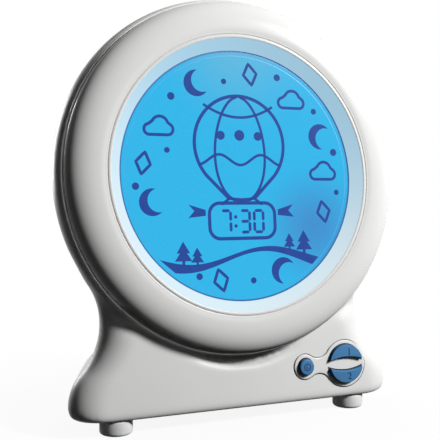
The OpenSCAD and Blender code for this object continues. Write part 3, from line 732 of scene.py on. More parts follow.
def nearness(tree, vector, centre, reach):
    """1 at the centre, falling to 0 at the reach."""
    gap = add(
        tree, "ShaderNodeVectorMath", {1: centre}, {0: vector}, operation="DISTANCE"
    )
    fall = add(
        tree, "ShaderNodeMapRange",
        {"From Min": 0, "From Max": reach, "To Min": 1, "To Max": 0},
        {"Value": gap.outputs["Value"]},
        interpolation_type="SMOOTHSTEP",
    )
    return fall.outputs["Result"]


def blended(tree, factor, low, high):
    """Mixes two colours, each a value or a socket."""
    mix = add(tree, "ShaderNodeMix", links={"Factor": factor}, data_type="RGBA")
    for name, colour in (("A", low), ("B", high)):
        socket = [i for i in mix.inputs if i.name == name and i.type == "RGBA"][0]
        if isinstance(colour, bpy.types.NodeSocket):
            tree.links.new(colour, socket)
        else:
            socket.default_value = rgba(colour)
    return [o for o in mix.outputs if o.type == "RGBA"][0]


def lit_screen_material(colours, body):
    """Backlit LCD under clear acrylic: an even glow, bluer low on the right, and duller at the top
    where a reflection is painted.
    """
    material, tree = new_material("Backlit screen acrylic")
    here = on_the_dial(tree, body)
    # Middle and reach of each patch on the dial
    low = nearness(tree, here, (0.034, 0.004, -0.022), 0.030)
    # The top patch is a painted reflection
    top = nearness(tree, here, (0.0, 0.004, 0.056), 0.040)
    colour = blended(tree, top, colours.lit, colours.lit_top_painted_reflection)
    colour = blended(tree, low, colour, colours.lit_low)
    # Light-guide dots, 1.2 mm apart, are a trace brighter than the film between them
    dots = add(tree, "ShaderNodeTexVoronoi", {"Scale": 1 / (1.2 * MM)}, {"Vector": here})
    glow = ranged(tree, dots.outputs["Distance"], 0.90, 0.86)
    unlit, unlit_low = tinted(colours.lit, 0.06), tinted(colours.lit_low, 0.06)
    shaded(
        tree,
        {"IOR": 1.49, "Specular IOR Level": 0.06, "Roughness": 0.22},
        {"Base Color": blended(tree, low, unlit, unlit_low),
         "Emission Color": colour, "Emission Strength": glow},
    )
    return material


def ring_material(colours, body):
    """Frosted acrylic lit from behind, with painted light and shade: pale low on the left, cooler
    and darker at the top and right.
    """
    material, tree = new_material("Frosted acrylic light ring")
    here = on_the_dial(tree, body)
    parts = add(tree, "ShaderNodeSeparateXYZ", links={"Vector": here})
    # Painted light and shade across the ring, from the pale lower left to the cooler, darker top
    # right
    slant = add(
        tree, "ShaderNodeMath", {1: 0.3}, {0: parts.outputs["X"], 2: parts.outputs["Z"]},
        operation="MULTIPLY_ADD",
    )
    side = add(
        tree, "ShaderNodeMapRange",
        {"From Min": -0.035, "From Max": 0.055, "To Min": 0, "To Max": 1},
        {"Value": slant.outputs["Value"]},
        interpolation_type="SMOOTHSTEP",
    )
    painted_shade_share = side.outputs["Result"]
    unlit = tinted(colours.ring_painted_light, 0.22), tinted(colours.ring_painted_shade, 0.22)
    shaded(
        tree,
        {"IOR": 1.49, "Specular IOR Level": 0.2, "Roughness": 0.3, "Emission Strength": 0.8},
        {"Base Color": blended(tree, painted_shade_share, *unlit),
         "Emission Color": blended(tree, painted_shade_share, colours.ring_painted_light, colours.ring_painted_shade),
         "Normal": grained(tree, here, 0.6 * MM, 0.003 * MM)},
    )
    return material


def shone_through(name, values, colour, patch, dimmest, base):
    """A print, a painted shadow line or a painted reflection line, that the light behind the screen
    shines through.
    """
    material, tree = new_material(name)
    here = add(tree, "ShaderNodeTexCoord").outputs["Object"]
    low, high = (tinted(colour, share) for share in base)
    shaded(
        tree,
        {"IOR": 1.49, **values},
        {"Base Color": mottled(tree, here, patch, low, high),
         "Emission Color": mottled(tree, here, patch, tinted(colour, dimmest), colour)},
    )
    return material


def ink_material(colours):
    """Printed film: matt navy ink with slightly uneven cover."""
    values = {"Specular IOR Level": 0.05, "Roughness": 0.4, "Emission Strength": 0.78}
    return shone_through("Printed navy ink", values, colours.ink, 0.004, 0.92, (0.1, 0.14))


def painted_line_material(colour, name):
    """Painted shadow line of the acrylic's edge round the lit screen, also used for its painted
    reflection.
    """
    values = {"Roughness": 0.3, "Emission Strength": 0.7}
    return shone_through(name, values, colour, 0.01, 0.9, (0.3, 0.4))


def board_material(name, code):
    """Solder mask over glass epoxy: green lacquer with copper tracks, and a fine grain."""
    material, tree = new_material(name)
    here = add(tree, "ShaderNodeTexCoord").outputs["Object"]
    mask, dark, copper = (rgba(tinted(linear(code), share)) for share in (1, 0.8, 1.6))
    tracks = add(
        tree, "ShaderNodeTexBrick",
        {"Scale": 1 / 0.01, "Mortar Size": 0.03, "Color1": mask, "Color2": dark, "Mortar": copper},
        {"Vector": here},
    )
    shaded(
        tree,
        {"IOR": 1.5, "Roughness": 0.35},
        {"Base Color": tracks.outputs["Color"], "Normal": grained(tree, here, 0.8 * MM, 0.01 * MM)},
    )
    return material


def metal_material(name, code, rough, stretch=(1, 1, 1)):
    """Metal with machining lines along one direction; stretch squeezes the pattern across them."""
    material, tree = new_material(name)
    here = add(tree, "ShaderNodeTexCoord").outputs["Object"]
    along = add(tree, "ShaderNodeMapping", {"Scale": stretch}, {"Vector": here})
    lines = add(
        tree, "ShaderNodeTexNoise", {"Scale": 1 / (0.3 * MM)}, {"Vector": along.outputs["Vector"]}
    )
    colour = linear(code)
    shaded(
        tree,
        {"Metallic": 1.0},
        {"Base Color": mottled(tree, here, 2 * MM, tinted(colour, 0.85), colour),
         "Roughness": ranged(tree, lines.outputs["Fac"], rough - 0.08, rough + 0.08)},
    )
    return material


# ---- the pieces ----


def shell_pieces(sizes, material):
    """Front and rear housing: head and stand blended, hollowed, cut open and parted."""
    body = Body(sizes)
    outer = lofted("shell", body.stand_rings(fine=4))
    cove = placed(lofted("cove", body.cove_rings()), body.matrix)
    carved(outer, cove)
    head = placed(turned("head", body.head_section(fine=3)), body.matrix)
    carved(outer, head, "UNION")
    with_modifier(outer, "REMESH", mode="VOXEL", voxel_size=sizes.voxel, adaptivity=0)
    with_modifier(outer, "SMOOTH", factor=0.5, iterations=sizes.blend_rounds)
    mark_neck(outer, body)
    with_modifier(
        outer, "SMOOTH", factor=0.5, iterations=4 * sizes.blend_rounds, vertex_group="neck"
    )
    carved(outer, cavity(body))
    for cutter in openings(body):
        carved(outer, cutter)
    half_gap = 0.06 * MM
    for name, node, low, high in (
        ("front_shell", "front_housing", -FAR, body.split_y - half_gap),
        ("rear_shell", "rear_housing", body.split_y + half_gap, FAR),
    ):
        half = outer.copy()
        half.data = outer.data.copy()
        bpy.context.collection.objects.link(half)
        half.name = name
        carved(half, block("keep", (-FAR, low, -FAR), (FAR, high, FAR)), "INTERSECT")
        finished(half, material, (node,))
    bpy.data.objects.remove(outer)


def within(value, low, high, soft):
    """1 between low and high, falling to 0 over soft outside them."""
    return max(0.0, min(1.0, (value - low) / soft + 1, (high - value) / soft + 1))


def mark_neck(obj, body):
    """Marks where the neck runs up into the head, and the thin ends of the cove."""
    group = obj.vertex_groups.new(name="neck")
    to_dial = body.matrix.inverted()
    for vertex in obj.data.vertices:
        x, _, h = to_dial @ vertex.co
        side, far = abs(x), math.hypot(x, h)
        neck = within(side, 46 * MM, 90 * MM, 8 * MM) * within(h, -61 * MM, -34 * MM, 5 * MM)
        end = within(side, 16 * MM, 44 * MM, 4 * MM) * within(far, 75 * MM, 78 * MM, 2 * MM)
        share = max(neck, 0.6 * end if h < 0 else 0)
        if share > 0:
            group.add([vertex.index], share, "REPLACE")


def screw_spots(body):
    """The housing screws: how far inside the head's edge each stands, and its angle."""
    spots = []
    for inside, turn in ((10 * MM, 45.6), (10.4 * MM, -8.6), (5 * MM, -48.4)):
        x, h = at(turn, body.s.head_r - inside)
        spots += [(side * x, body.dial.z + h) for side in (-1, 1)]
    return spots


def cavity(body):
    """The hollow inside the housings, with the screw posts and the inlet's boss left standing."""
    s = body.s
    hollow = lofted("hollow", body.stand_rings(s.wall, 1, below=MM))
    cove = placed(lofted("cove", body.cove_rings(s.wall)), body.matrix)
    carved(hollow, cove)
    head = placed(turned("head", body.head_section(s.wall), 64), body.matrix)
    carved(hollow, head, "UNION")
    split = body.split_y
    for x, z in screw_spots(body):
        carved(hollow, rod_y("post", x, z, POST_R, body.dial.y - 20 * MM, split + PAST))
        carved(hollow, rod_y("tube", x, z, TUBE_R, split, split + WELL_LENGTH))
    jack_z, floor_y, _, pocket_r = inlet_place(body)
    carved(hollow, rod_y("boss", 0, jack_z, pocket_r + 2 * MM, floor_y - 2.2 * MM, body.heel_y))
    return hollow


def inlet_place(body):
    """Height and floor of the power inlet's pocket, then the radii of socket nose and pocket."""
    nose_r, rim = 4.0 * MM, 2.4 * MM
    floor_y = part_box("power_jack")[1][1] + 0.2 * MM
    return body.stand_z + 14 * MM, floor_y, nose_r, nose_r + rim


def openings(body):
    """Cutters that the real housings are moulded with."""
    s = body.s
    hole_r, front, back = 59.5 * MM, -10 * MM, s.face_s + 4 * MM
    dial = [(0, front), (hole_r, front), (hole_r, back), (0, back)]
    yield placed(turned("dial_opening", dial), body.matrix)
    plate = raised("plate_opening", plate_outline(s, s.gap, 2), -2 * MM, s.face_s + 9 * MM)
    yield placed(plate, body.matrix)
    head_y = body.split_y + HEAD_SEAT
    wells = []
    for x, z in screw_spots(body):
        wells.append(rod_y("shank", x, z, SHANK_R, head_y - SCREW_LENGTH, head_y + PAST))
        wells.append(rod_y("well", x, z, WELL_R, head_y, body.split_y + WELL_LENGTH))
    yield from wells
    jack_z, floor_y, nose_r, pocket_r = inlet_place(body)
    yield rod_y("pocket", 0, jack_z, pocket_r, floor_y, body.heel_y + 10 * MM)
    yield rod_y("nose", 0, jack_z, nose_r + s.gap, floor_y - 3 * MM, floor_y + PAST)
    slot_w, pitch, grille_r, speaker_h = 1.6 * MM, 3.6 * MM, 14 * MM, 36 * MM
    end_r, front, back = slot_w / 2, s.head_depth - s.wall - 2 * MM, s.head_depth + 2 * MM
    slots = []
    for i in range(-3, 4):
        middle = math.sqrt(grille_r**2 - (i * pitch) ** 2) - end_r
        h = speaker_h + i * pitch
        shape = arc((middle, h), end_r, -90, 90, 8) + arc((-middle, h), end_r, 90, 270, 8)
        slots.append(raised("slot", shape, front, back))
    yield placed(joined(slots), body.matrix)


def bezel_piece(sizes, material, shell):
    """The crowned ring round the dial, a moulded skin with a rolled inner lip."""
    s = sizes
    body = Body(s)
    crest_r = s.opening_r + 3.2 * MM
    rim_s = s.face_s - RIM_LIFT
    edge_r = s.bezel_r - SEAM
    wide, deep = edge_r - crest_r, rim_s + s.bezel_crown
    skin, rim_back = s.bezel_skin, rim_s + 0.25 * MM
    lip_r, lip_s = s.opening_r + LIP, DISH - s.bezel_crown
    dish = [
        (crest_r + (lip_r - crest_r) * t, -s.bezel_crown + DISH * t * t)
        for t in (0.2, 0.4, 0.6, 0.8, 0.92)
    ]
    profile = (
        [(edge_r - 0.3 * MM, rim_back)]
        + crown((crest_r, rim_s), wide, deep, 0, 90, 48)
        + dish
        + oval((lip_r, GROOVE_S), LIP, GROOVE_S - lip_s, 90, 180, 10)
        + [(s.opening_r, GROOVE_END), (crest_r - 0.4 * MM, GROOVE_END)]
        + crown((crest_r, rim_s), wide - skin, deep - skin, 88, 0, 24)
        + [(edge_r - skin, rim_back)]
    )
    ring = placed(turned("bezel", profile, FINE), body.matrix)
    finished(ring, material, ("bezel_ring",), angle=50)
    rib_r, rib, rib_back = edge_r + 0.34 * MM, 0.32 * MM, rim_s + 1.6 * MM
    edge = [(rib_r - rib, rib_back)]
    edge += oval((rib_r, rim_s + 0.1 * MM), rib, rib, 180, 0, 10)
    edge += [(rib_r + rib, rib_back)]
    seam = placed(turned("bezel_seam_rib", edge, FINE), body.matrix)
    finished(seam, rib_abs_painted_highlight(shell), angle=50)


def light_ring_piece(sizes, colours, shell):
    """The pale ring that slopes from the bezel's lip in to the lit disc."""
    s = sizes
    body = Body(s)
    hair = 0.02 * MM
    r = s.opening_r - s.gap
    back = s.display_s + s.display_t + 0.8 * MM
    crest = s.bezel_crown - DISH
    inner = r - LIP - 0.5 * MM
    lip = (
        [(s.opening_r - hair, GROOVE_END), (s.opening_r - hair, GROOVE_S)]
        + oval((r - LIP, GROOVE_S), LIP, GROOVE_S + crest, 0, 90, 10)
        + [(r - LIP - 0.25 * MM, 0.08 * MM - crest), (inner, 0.26 * MM - crest)]
        + [(inner, GROOVE_END)]
    )
    rim = placed(turned("light_ring_rim", lip, FINE), body.matrix)
    finished(rim, shell, angle=40)
    # From the rim inwards down the slope, under the lit disc, and back out behind the bezel
    under_r, flange_r, step = s.display_r + 1.5 * MM, r + 2.4 * MM, 2.8 * MM
    under_s = s.display_s - 0.1 * MM
    profile = (
        [(r, 2.7 * MM), (inner - hair, GROOVE_END), (inner - hair, 0.28 * MM - crest)]
        + [(s.display_r + 0.3 * MM, s.display_s - 0.7 * MM)]
        + [(s.display_r, s.display_s - 0.45 * MM), (s.display_r, under_s)]
        + [(under_r, under_s), (under_r, back)]
        + [(flange_r, back), (flange_r, step), (r + 0.1 * MM, step)]
    )
    ring = placed(turned("light_ring_glow", profile, FINE), body.matrix)
    finished(ring, ring_material(colours, body), ("light_ring",), angle=40)


def screen_pieces(sizes, colours):
    """The lit disc, the fine painted shadow line round it, and that line's faint painted
    reflection.
    """
    s = sizes
    body = Body(s)
    r, front, back = s.display_r + 1.2 * MM, s.display_s + SCREEN_LIFT, s.display_s + s.display_t
    round_r = 0.3 * MM
    section = [(0, front), (r * 0.5, front), (r - round_r, front)]
    section += [(r, front + round_r), (r, back), (0, back)]
    disc = placed(turned("lit_screen", section), body.matrix)
    glass = lit_screen_material(colours, body)
    finished(disc, glass, ("display_panel",))
    # Two rings painted on the screen: the edge's painted shadow line and its painted reflection
    for name, outer, inner, material in (
        ("screen_edge_painted_shadow", 0.2, -0.7, painted_line_material(colours.rim, "Painted shadow line of the acrylic edge")),
        ("screen_edge_painted_reflection", -2.0, -2.3, painted_line_material(colours.painted_edge_reflection, "Painted reflection of the acrylic edge")),
    ):
        r0, r1, line_front = s.display_r + outer * MM, s.display_r + inner * MM, front - PRINT_OUT
        section = [(r0, front), (r0, line_front), (r1, line_front), (r1, front)]
        finished(placed(turned(name, section, FINE), body.matrix), material)


# ---- the picture: a balloon that carries the time over hills, in a sky of clouds and moons ----


def stroke(points, width):
    """The outline of a line of even width with round ends."""
    left, right = [], []
    last = len(points) - 1
    for i, point in enumerate(points):
        nx, ny = sideways(points[max(0, i - 1)], points[min(last, i + 1)], width)
        left.append((point[0] + nx, point[1] + ny))
        right.append((point[0] - nx, point[1] - ny))
    ends = []
    for point, toward in ((points[-1], right[-1]), (points[0], left[0])):
        start = math.degrees(math.atan2(toward[1] - point[1], toward[0] - point[0]))
        ends.append(arc(point, width / 2, start + 180, start, 6)[1:-1])
    return left + ends[0] + right[::-1] + ends[1]


def moved(points, centre, turn=0.0, scale=1.0):
    """Points turned, scaled and moved."""
    c, s = math.cos(math.radians(turn)) * scale, math.sin(math.radians(turn)) * scale
    return [(centre[0] + x * c - y * s, centre[1] + x * s + y * c) for x, y in points]


def moon():
    """A crescent about 11 mm tall."""
    return arc((0, 0), 5.6, 60, 300, 26) + arc((2.9, 0), 4.85, 267, 93, 20)


def cloud():
    """A cloud about 13 mm wide, as the middle line of its stroke."""
    return (
        [(-3.9, -2.9), (0.0, -2.9), (3.8, -2.9)]
        + arc((3.9, -0.6), 2.3, -80, 62, 9)
        + arc((0.6, 1.2), 3.5, 18, 152, 12)
        + arc((-4.0, -0.7), 2.2, 96, 262, 10)
    )


def kite():
    """A four-cornered outline about 11 mm tall."""
    corners = [(0, 5.4), (3.6, 0), (0, -5.4), (-3.6, 0)]
    points = []
    for i in range(4):
        (x0, y0), (x1, y1) = corners[i], corners[(i + 1) % 4]
        points += [(x0 + (x1 - x0) * t / 6, y0 + (y1 - y0) * t / 6) for t in range(6)]
    return points


def dot(radius):
    """A small round spot."""
    return arc((0, 0), radius, 0, 360, 20)[:-1]


def segment(a, b, width):
    """One bar of a digit, with pointed ends."""
    nx, ny = sideways(a, b, width)
    ux, uy = ny, -nx
    return [
        a, (a[0] + ux - uy, a[1] + uy + ux), (b[0] - ux - uy, b[1] - uy + ux),
        b, (b[0] - ux + uy, b[1] - uy - ux), (a[0] + ux + uy, a[1] + uy - ux),
    ]


SEGMENTS = {"7": "abc", "3": "abgcd", "0": "abcdef"}


def digit(value, left, low, wide, tall, width):
    """Seven-bar digit whose bars meet with a small gap."""
    x0, x1, y0, y2 = left, left + wide, low, low + tall
    y1 = (y0 + y2) / 2
    gap = 0.18
    ends = {
        "a": ((x0, y2), (x1, y2)), "g": ((x0, y1), (x1, y1)), "d": ((x0, y0), (x1, y0)),
        "b": ((x1, y1), (x1, y2)), "c": ((x1, y0), (x1, y1)),
        "f": ((x0, y1), (x0, y2)), "e": ((x0, y0), (x0, y1)),
    }
    bars = []
    for key in SEGMENTS[value]:
        (ax, ay), (bx, by) = ends[key]
        ux, uy = (gap, 0) if ay == by else (0, gap)
        bars.append(segment((ax + ux, ay + uy), (bx - ux, by - uy), width))
    return bars


def inked(name, solids, lines, front, matrix):
    """Filled outlines and closed lines raised a hair off the screen, joined into one piece."""
    back = front - 0.05 * MM
    pieces = [raised(name, [(x * MM, h * MM) for x, h in shape], back, front) for shape in solids]
    for points, width in lines:
        pieces.append(band(name, [(x * MM, h * MM) for x, h in points], width * MM, back, front))
    return placed(joined(pieces), matrix)


def sky_shapes(line):
    """Clouds, moons, kites and dots round the balloon: angle, distance, turn."""
    shapes, lines = [], []
    for a, r, turn in ((152, 40.5, 0), (52, 41, 0), (2, 39.5, 0)):
        lines.append((moved(cloud(), at(a, r), turn), line))
    for a, r, turn in ((116, 42.5, 25), (24, 42.5, -20), (196, 41, 15), (-66, 44.5, -30)):
        shapes.append(moved(moon(), at(a, r), turn))
    for a, r, turn in ((82, 43.5, 8), (174, 43, -12), (-22, 42, 10), (-104, 45, 14)):
        lines.append((moved(kite(), at(a, r), turn, 0.86), line))
    for a, r, size in ((133, 44, 1.6), (99, 40, 1.2), (66, 46.5, 1.5), (38, 46, 1.3),
                       (13, 46.5, 1.6), (-9, 46.5, 1.2), (163, 34, 1.2), (186, 46.5, 1.5),
                       (-85, 44.5, 1.3), (-116, 46.5, 1.4)):
        shapes.append(moved(dot(size), at(a, r)))
    return shapes, lines


def at(angle, distance):
    """A place round the dial's middle."""
    turn = math.radians(angle)
    return (distance * math.cos(turn), distance * math.sin(turn))


def balloon_shapes(line):
    """Envelope with its seams and dots, ropes, and the basket that frames the time."""
    middle, r = (0, 13.0), 20.5
    skirt = [(6.2, -9.6), (3.2, -10.3), (0, -10.5), (-3.2, -10.3), (-6.2, -9.6)]
    envelope = arc(middle, r, -40, 220, 60) + skirt[::-1]
    lines = [(envelope, line * 1.15)]
    shapes = []
    for bow in (-11.4, 11.4):
        seam = [
            (bow * math.sin(t) * (1 - 0.12 * math.cos(t)), 10.8 + 22.2 * math.cos(t))
            for t in (math.radians(7 + 157 * i / 28) for i in range(29))
        ]
        shapes.append(stroke(seam, line * 0.9))
    swag = [(x, 6.4 - 2.2 * math.cos(math.radians(x * 18.7))) for x in
            (-18.4 + 36.8 * i / 40 for i in range(41))]
    shapes.append(stroke(swag, line * 0.9))
    collar = [(x, 24.4 + 0.02 * x * x) for x in (-15.6 + 31.2 * i / 24 for i in range(25))]
    shapes.append(stroke(collar, line * 0.9))
    for x, h, size in ((-8.6, 16.6, 1.9), (0, 16.8, 2.3), (8.6, 16.6, 1.9)):
        shapes.append(moved(dot(size), (x, h)))
    for side in (-1, 1):
        shapes.append(stroke([(side * 5.6, -9.8), (side * 9.0, -12.2)], line * 0.9))
        pennant = [(side * x, h) for x, h in
                   ((16.6, -14.6), (24.0, -12.4), (21.6, -15.0), (24.2, -17.8), (16.6, -17.0))]
        shapes.append(pennant if side < 0 else pennant[::-1])
    lines.append((rounded_box(0, -19.2, 30, 14.8, 4.6), line * 1.15))
    return shapes, lines


def rounded_box(cx, cy, wide, tall, r):
    """An upright box with rounded corners."""
    points = []
    for x, y, start in ((1, -1, -90), (1, 1, 0), (-1, 1, 90), (-1, -1, 180)):
        centre = (cx + x * (wide / 2 - r), cy + y * (tall / 2 - r))
        points += arc(centre, r, start, start + 90, 6)
    return points


def hill_shapes():
    """A band of hills across the foot of the picture, with small fir trees on it."""
    reach = 51.2
    far = [(x, -33.5 + 3.4 * math.sin(math.radians(x * 5.2 + 30))) for x in
           (-38.8 + 77.4 * i / 48 for i in range(49))]
    near = [(x, h - 3.0 + 1.3 * math.cos(math.radians(x * 4.4))) for x, h in far]
    inside = [p for p in far if math.hypot(*p) < reach]
    below = [p for p in near if math.hypot(*p) < reach]
    shapes = [inside + below[::-1]]
    for x, size in ((-27, 1.25), (-21, 0.95), (21.5, 0.9), (28.5, 1.3)):
        foot = -34.2 + 3.4 * math.sin(math.radians(x * 5.2 + 30))
        tree = [(-0.5, 0), (-0.5, 1.6), (-3.0, 1.6), (-1.2, 4.2), (-2.3, 4.2), (0, 8.0),
                (2.3, 4.2), (1.2, 4.2), (3.0, 1.6), (0.5, 1.6), (0.5, 0)]
        shapes.append(moved(tree, (x, foot), 0, size))
    return shapes, []


def picture_pieces(sizes, colours):
    """The printed picture and the digits, flat on the lit disc."""
    body = Body(sizes)
    front = sizes.display_s + SCREEN_LIFT
    # Width of the printed lines, in mm as all of the picture
    line = 1.25
    ink = ink_material(colours)
    pictures = {
        "print_sky": sky_shapes(line),
        "print_balloon": balloon_shapes(line),
        "print_hills": hill_shapes(),
    }
    low = -24.0
    time = [bar for value, left in (("7", -9.6), ("3", -0.9), ("0", 5.4))
            for bar in digit(value, left, low, 4.1, 9.0, line)]
    time += [moved(dot(0.75), (-3.2, low + h)) for h in (2.6, 6.4)]
    pictures["time_digits"] = (time, [])
    for name, (shapes, lines) in pictures.items():
        finished(inked(name, shapes, lines, front, body.matrix), ink)


# ---- buttons and feet ----


def plate_piece(sizes, material):
    """The white plate round the buttons, with a soft edge and the three holes, and black rings in
    the gaps round the buttons as painted shade.
    """
    s = sizes
    body = Body(s)
    front = s.face_s - RIM_LIFT
    plate = raised("button_surround", plate_outline(s, 0, 2), front, front + 4.2 * MM)
    softened(plate, 0.55 * MM)
    # Painted shade: black rings fill the gaps round the buttons to darken them
    hole_gap, shade_ring_gap, shade_ring_w = 0.5 * MM, 0.3 * MM, 0.44 * MM
    painted_shade_rings = []
    for name in KEYS:
        hole = raised("hole", key_outline(s, name, hole_gap), front - PAST, front + 6 * MM)
        carved(plate, hole)
        line = key_outline(s, name, shade_ring_gap)
        painted_shade_rings.append(band("button_painted_shade_rings", line, shade_ring_w, front + 0.15 * MM, front + 1.5 * MM))
    finished(placed(plate, body.matrix), material, ("button_plate",), angle=50)
    black = plain_plastic("Black painted shade in the button gaps", "0B0C0E", 0.7, 0.4, 0.004)
    finished(placed(joined(painted_shade_rings), body.matrix), black, angle=50)


def button_pieces(sizes, colours):
    """Three moulded buttons with rounded tops, each with its mark."""
    s = sizes
    body = Body(s)
    front = s.face_s - RIM_LIFT - s.button_out
    back = s.face_s + 4.9 * MM
    mark_front, mark_back = front - PRINT_OUT, front + MARK_IN
    blue = satin_abs(colours.button, "Satin blue ABS button", (0.30, 0.38))
    mark = satin_abs(colours.glyph, "Dark blue printed mark", (0.35, 0.42))
    row = button_row(s)
    for name in KEYS:
        cap = softened(raised(name + "_cap", key_outline(s, name), front, back), 0.7 * MM)
        node = name + "_button"
        key = body_with(node)
        finished(placed(cap, body.matrix), blue, (node,), body=key, angle=60)
    ring, centre = (
        [(s.round_x + x * MM, row + h * MM) for x, h in shape]
        for shape in (dot(1.45), moved(moon(), (0.12, 0), 20, 0.13))
    )
    marks = [
        band("mark_round", ring, 0.4 * MM, mark_front, mark_back),
        raised("mark_round", centre, mark_front, mark_back),
    ]
    key = body_with("round_button")
    finished(placed(joined(marks), body.matrix), mark, body=key)
    for text, node, x, h in (("1", "upper_button", 1.4, 5.0), ("2", "lower_button", 1.2, -5.5)):
        sign = sign_piece(text, 4.2 * MM, (s.pair_x + x * MM, mark_front, row + h * MM))
        finished(placed(sign, body.matrix), mark, body=body_with(node))


def body_with(node):
    """The CAD body that a node rides on."""
    bodies = frame["record"]["behaviour"]["bodies"]
    return next(name for name, nodes in bodies.items() if node in nodes)


def sign_piece(text, size, centre):
    """A digit as a thin raised mark that faces the front."""
    deselect()
    bpy.ops.object.text_add()
    obj = bpy.context.object
    obj.data.body = text
    obj.data.size = size
    obj.data.extrude = 0.06 * MM
    obj.data.align_x = "CENTER"
    obj.data.align_y = "CENTER"
    obj.name = "mark_" + text
    bpy.ops.object.convert(target="MESH")
    obj = bpy.context.object
    obj.data.transform(Matrix.Translation(centre) @ Matrix.Rotation(math.pi / 2, 4, "X"))
    return closed_up(obj)


def foot_pieces(body, rubber):
    """Four moulded feet with a rounded tread and a shallow hollow under each."""
    top = body.stand_z - 0.1 * MM
    tread, rim, neck_r, throat_r = 1.4 * MM, 0.5 * MM, 3.7 * MM, 2.4 * MM
    neck_top = top + 1.8 * MM
    for name in ("front_left_foot", "front_right_foot", "rear_left_foot", "rear_right_foot"):
        low, high = (Vector(corner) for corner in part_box(name))
        r = (high.x - low.x) / 2
        profile = (
            [(0, rim), (r * 0.45, rim), (r * 0.55, 0)]
            + arc((r - tread, tread), tread, -90, 0, 8)
            + arc((r - rim, top - rim), rim, 0, 90, 4)
            + [(neck_r, top), (neck_r, neck_top), (throat_r, neck_top)]
            + [(throat_r, high.z), (0, high.z)]
        )
        foot = turned(name + "_pad", profile, 64)
        centre = ((low.x + high.x) / 2, (low.y + high.y) / 2, 0)
        up = Matrix.Translation(centre) @ Matrix.Rotation(math.pi / 2, 4, "X")
        finished(placed(foot, up), rubber, (name,))


# ---- materials of the inner pieces that the CAD keeps ----


def inner_materials():
    """Gives every CAD piece that still shows, or lies inside, the finish of the real one."""
    steel = metal_material("Zinc-plated steel screw", "B9BCC0", 0.32, (1, 0.1, 1))
    black = plain_plastic("Black glass-filled nylon", "1B1B1C", 0.5)
    white = plain_plastic("White reflector polycarbonate", "F1F1EE", 0.45, 0.4, 0.004)
    film = plain_plastic("Diffuser film", "ECEFF2", 0.6, 0.3, 0.003)
    amber = plain_plastic("Polyimide ribbon", "B9701E", 0.35, 1.0, 0.003)
    red = plain_plastic("Red PVC lead", "A8241D", 0.4, 0.4, 0.006)
    green = board_material("Green solder mask board", "1E6B3A")
    groups = (
        (steel, ("panel_screws", "board_screws", "key_board_screws", "speaker_screws",
                 "base_plate_screws", "housing_screws")),
        (black, ("board_chips", "board_link", "key_switches", "speaker_basket", "power_jack",
                 "round_plunger", "upper_plunger", "lower_plunger")),
        (white, ("reflector_bowl", "panel_frame")),
        (film, ("diffuser_film", "opal_diffuser")),
        (amber, ("display_flex", "key_ribbon")),
        (red, ("speaker_wires", "jack_wires")),
        (green, ("main_board", "lamp_board", "key_board")),
        (plain_plastic("Pale grey base plate ABS", "DADADB", 0.5), ("base_plate",)),
        (plain_plastic("Black paper cone", "202022", 0.8, 0.3, 0.02), ("speaker_cone",)),
        (plain_plastic("Yellow phosphor lamp", "E9DDA0", 0.3), ("backlight_lamps",)),
        (metal_material("Nickel-plated magnet", "8E9094", 0.4), ("speaker_magnet",)),
        (metal_material("Galvanised steel bracket", "A9ACAF", 0.45), ("speaker_clamp",)),
        (metal_material("Brass contact", "C8A35A", 0.25), ("jack_contact",)),
    )
    for material, nodes in groups:
        for node in nodes:
            mesh = frame["nodes"][node].data
            mesh.materials.clear()
            mesh.materials.append(material)


# ---- stage ----

# Strength of the white world, and how much light the floor throws back on the clock
WORLD_LIGHT = FLOOR_BOUNCE = 0.02
# Name, place, width, height, watts, bounces
LAMPS = (
    ("key_right", (0.456, -0.492, 0.468), 0.16, 0.16, 7.70, 0),
    ("edge_left", (-0.237, 0.467, 0.200), 0.14, 0.24, 1.60, 4),
    ("back_right", (0.321, 0.585, 0.250), 0.25, 0.25, 1.30, 4),
)
# The camera stands this far from the dial's middle and looks this way; lens in mm
CAMERA_FROM_DIAL = (-0.13970, -0.30191, -0.00813)
CAMERA_LOOK = (0.3909, 0.9198, -0.0333)
CAMERA_LENS = 65.45


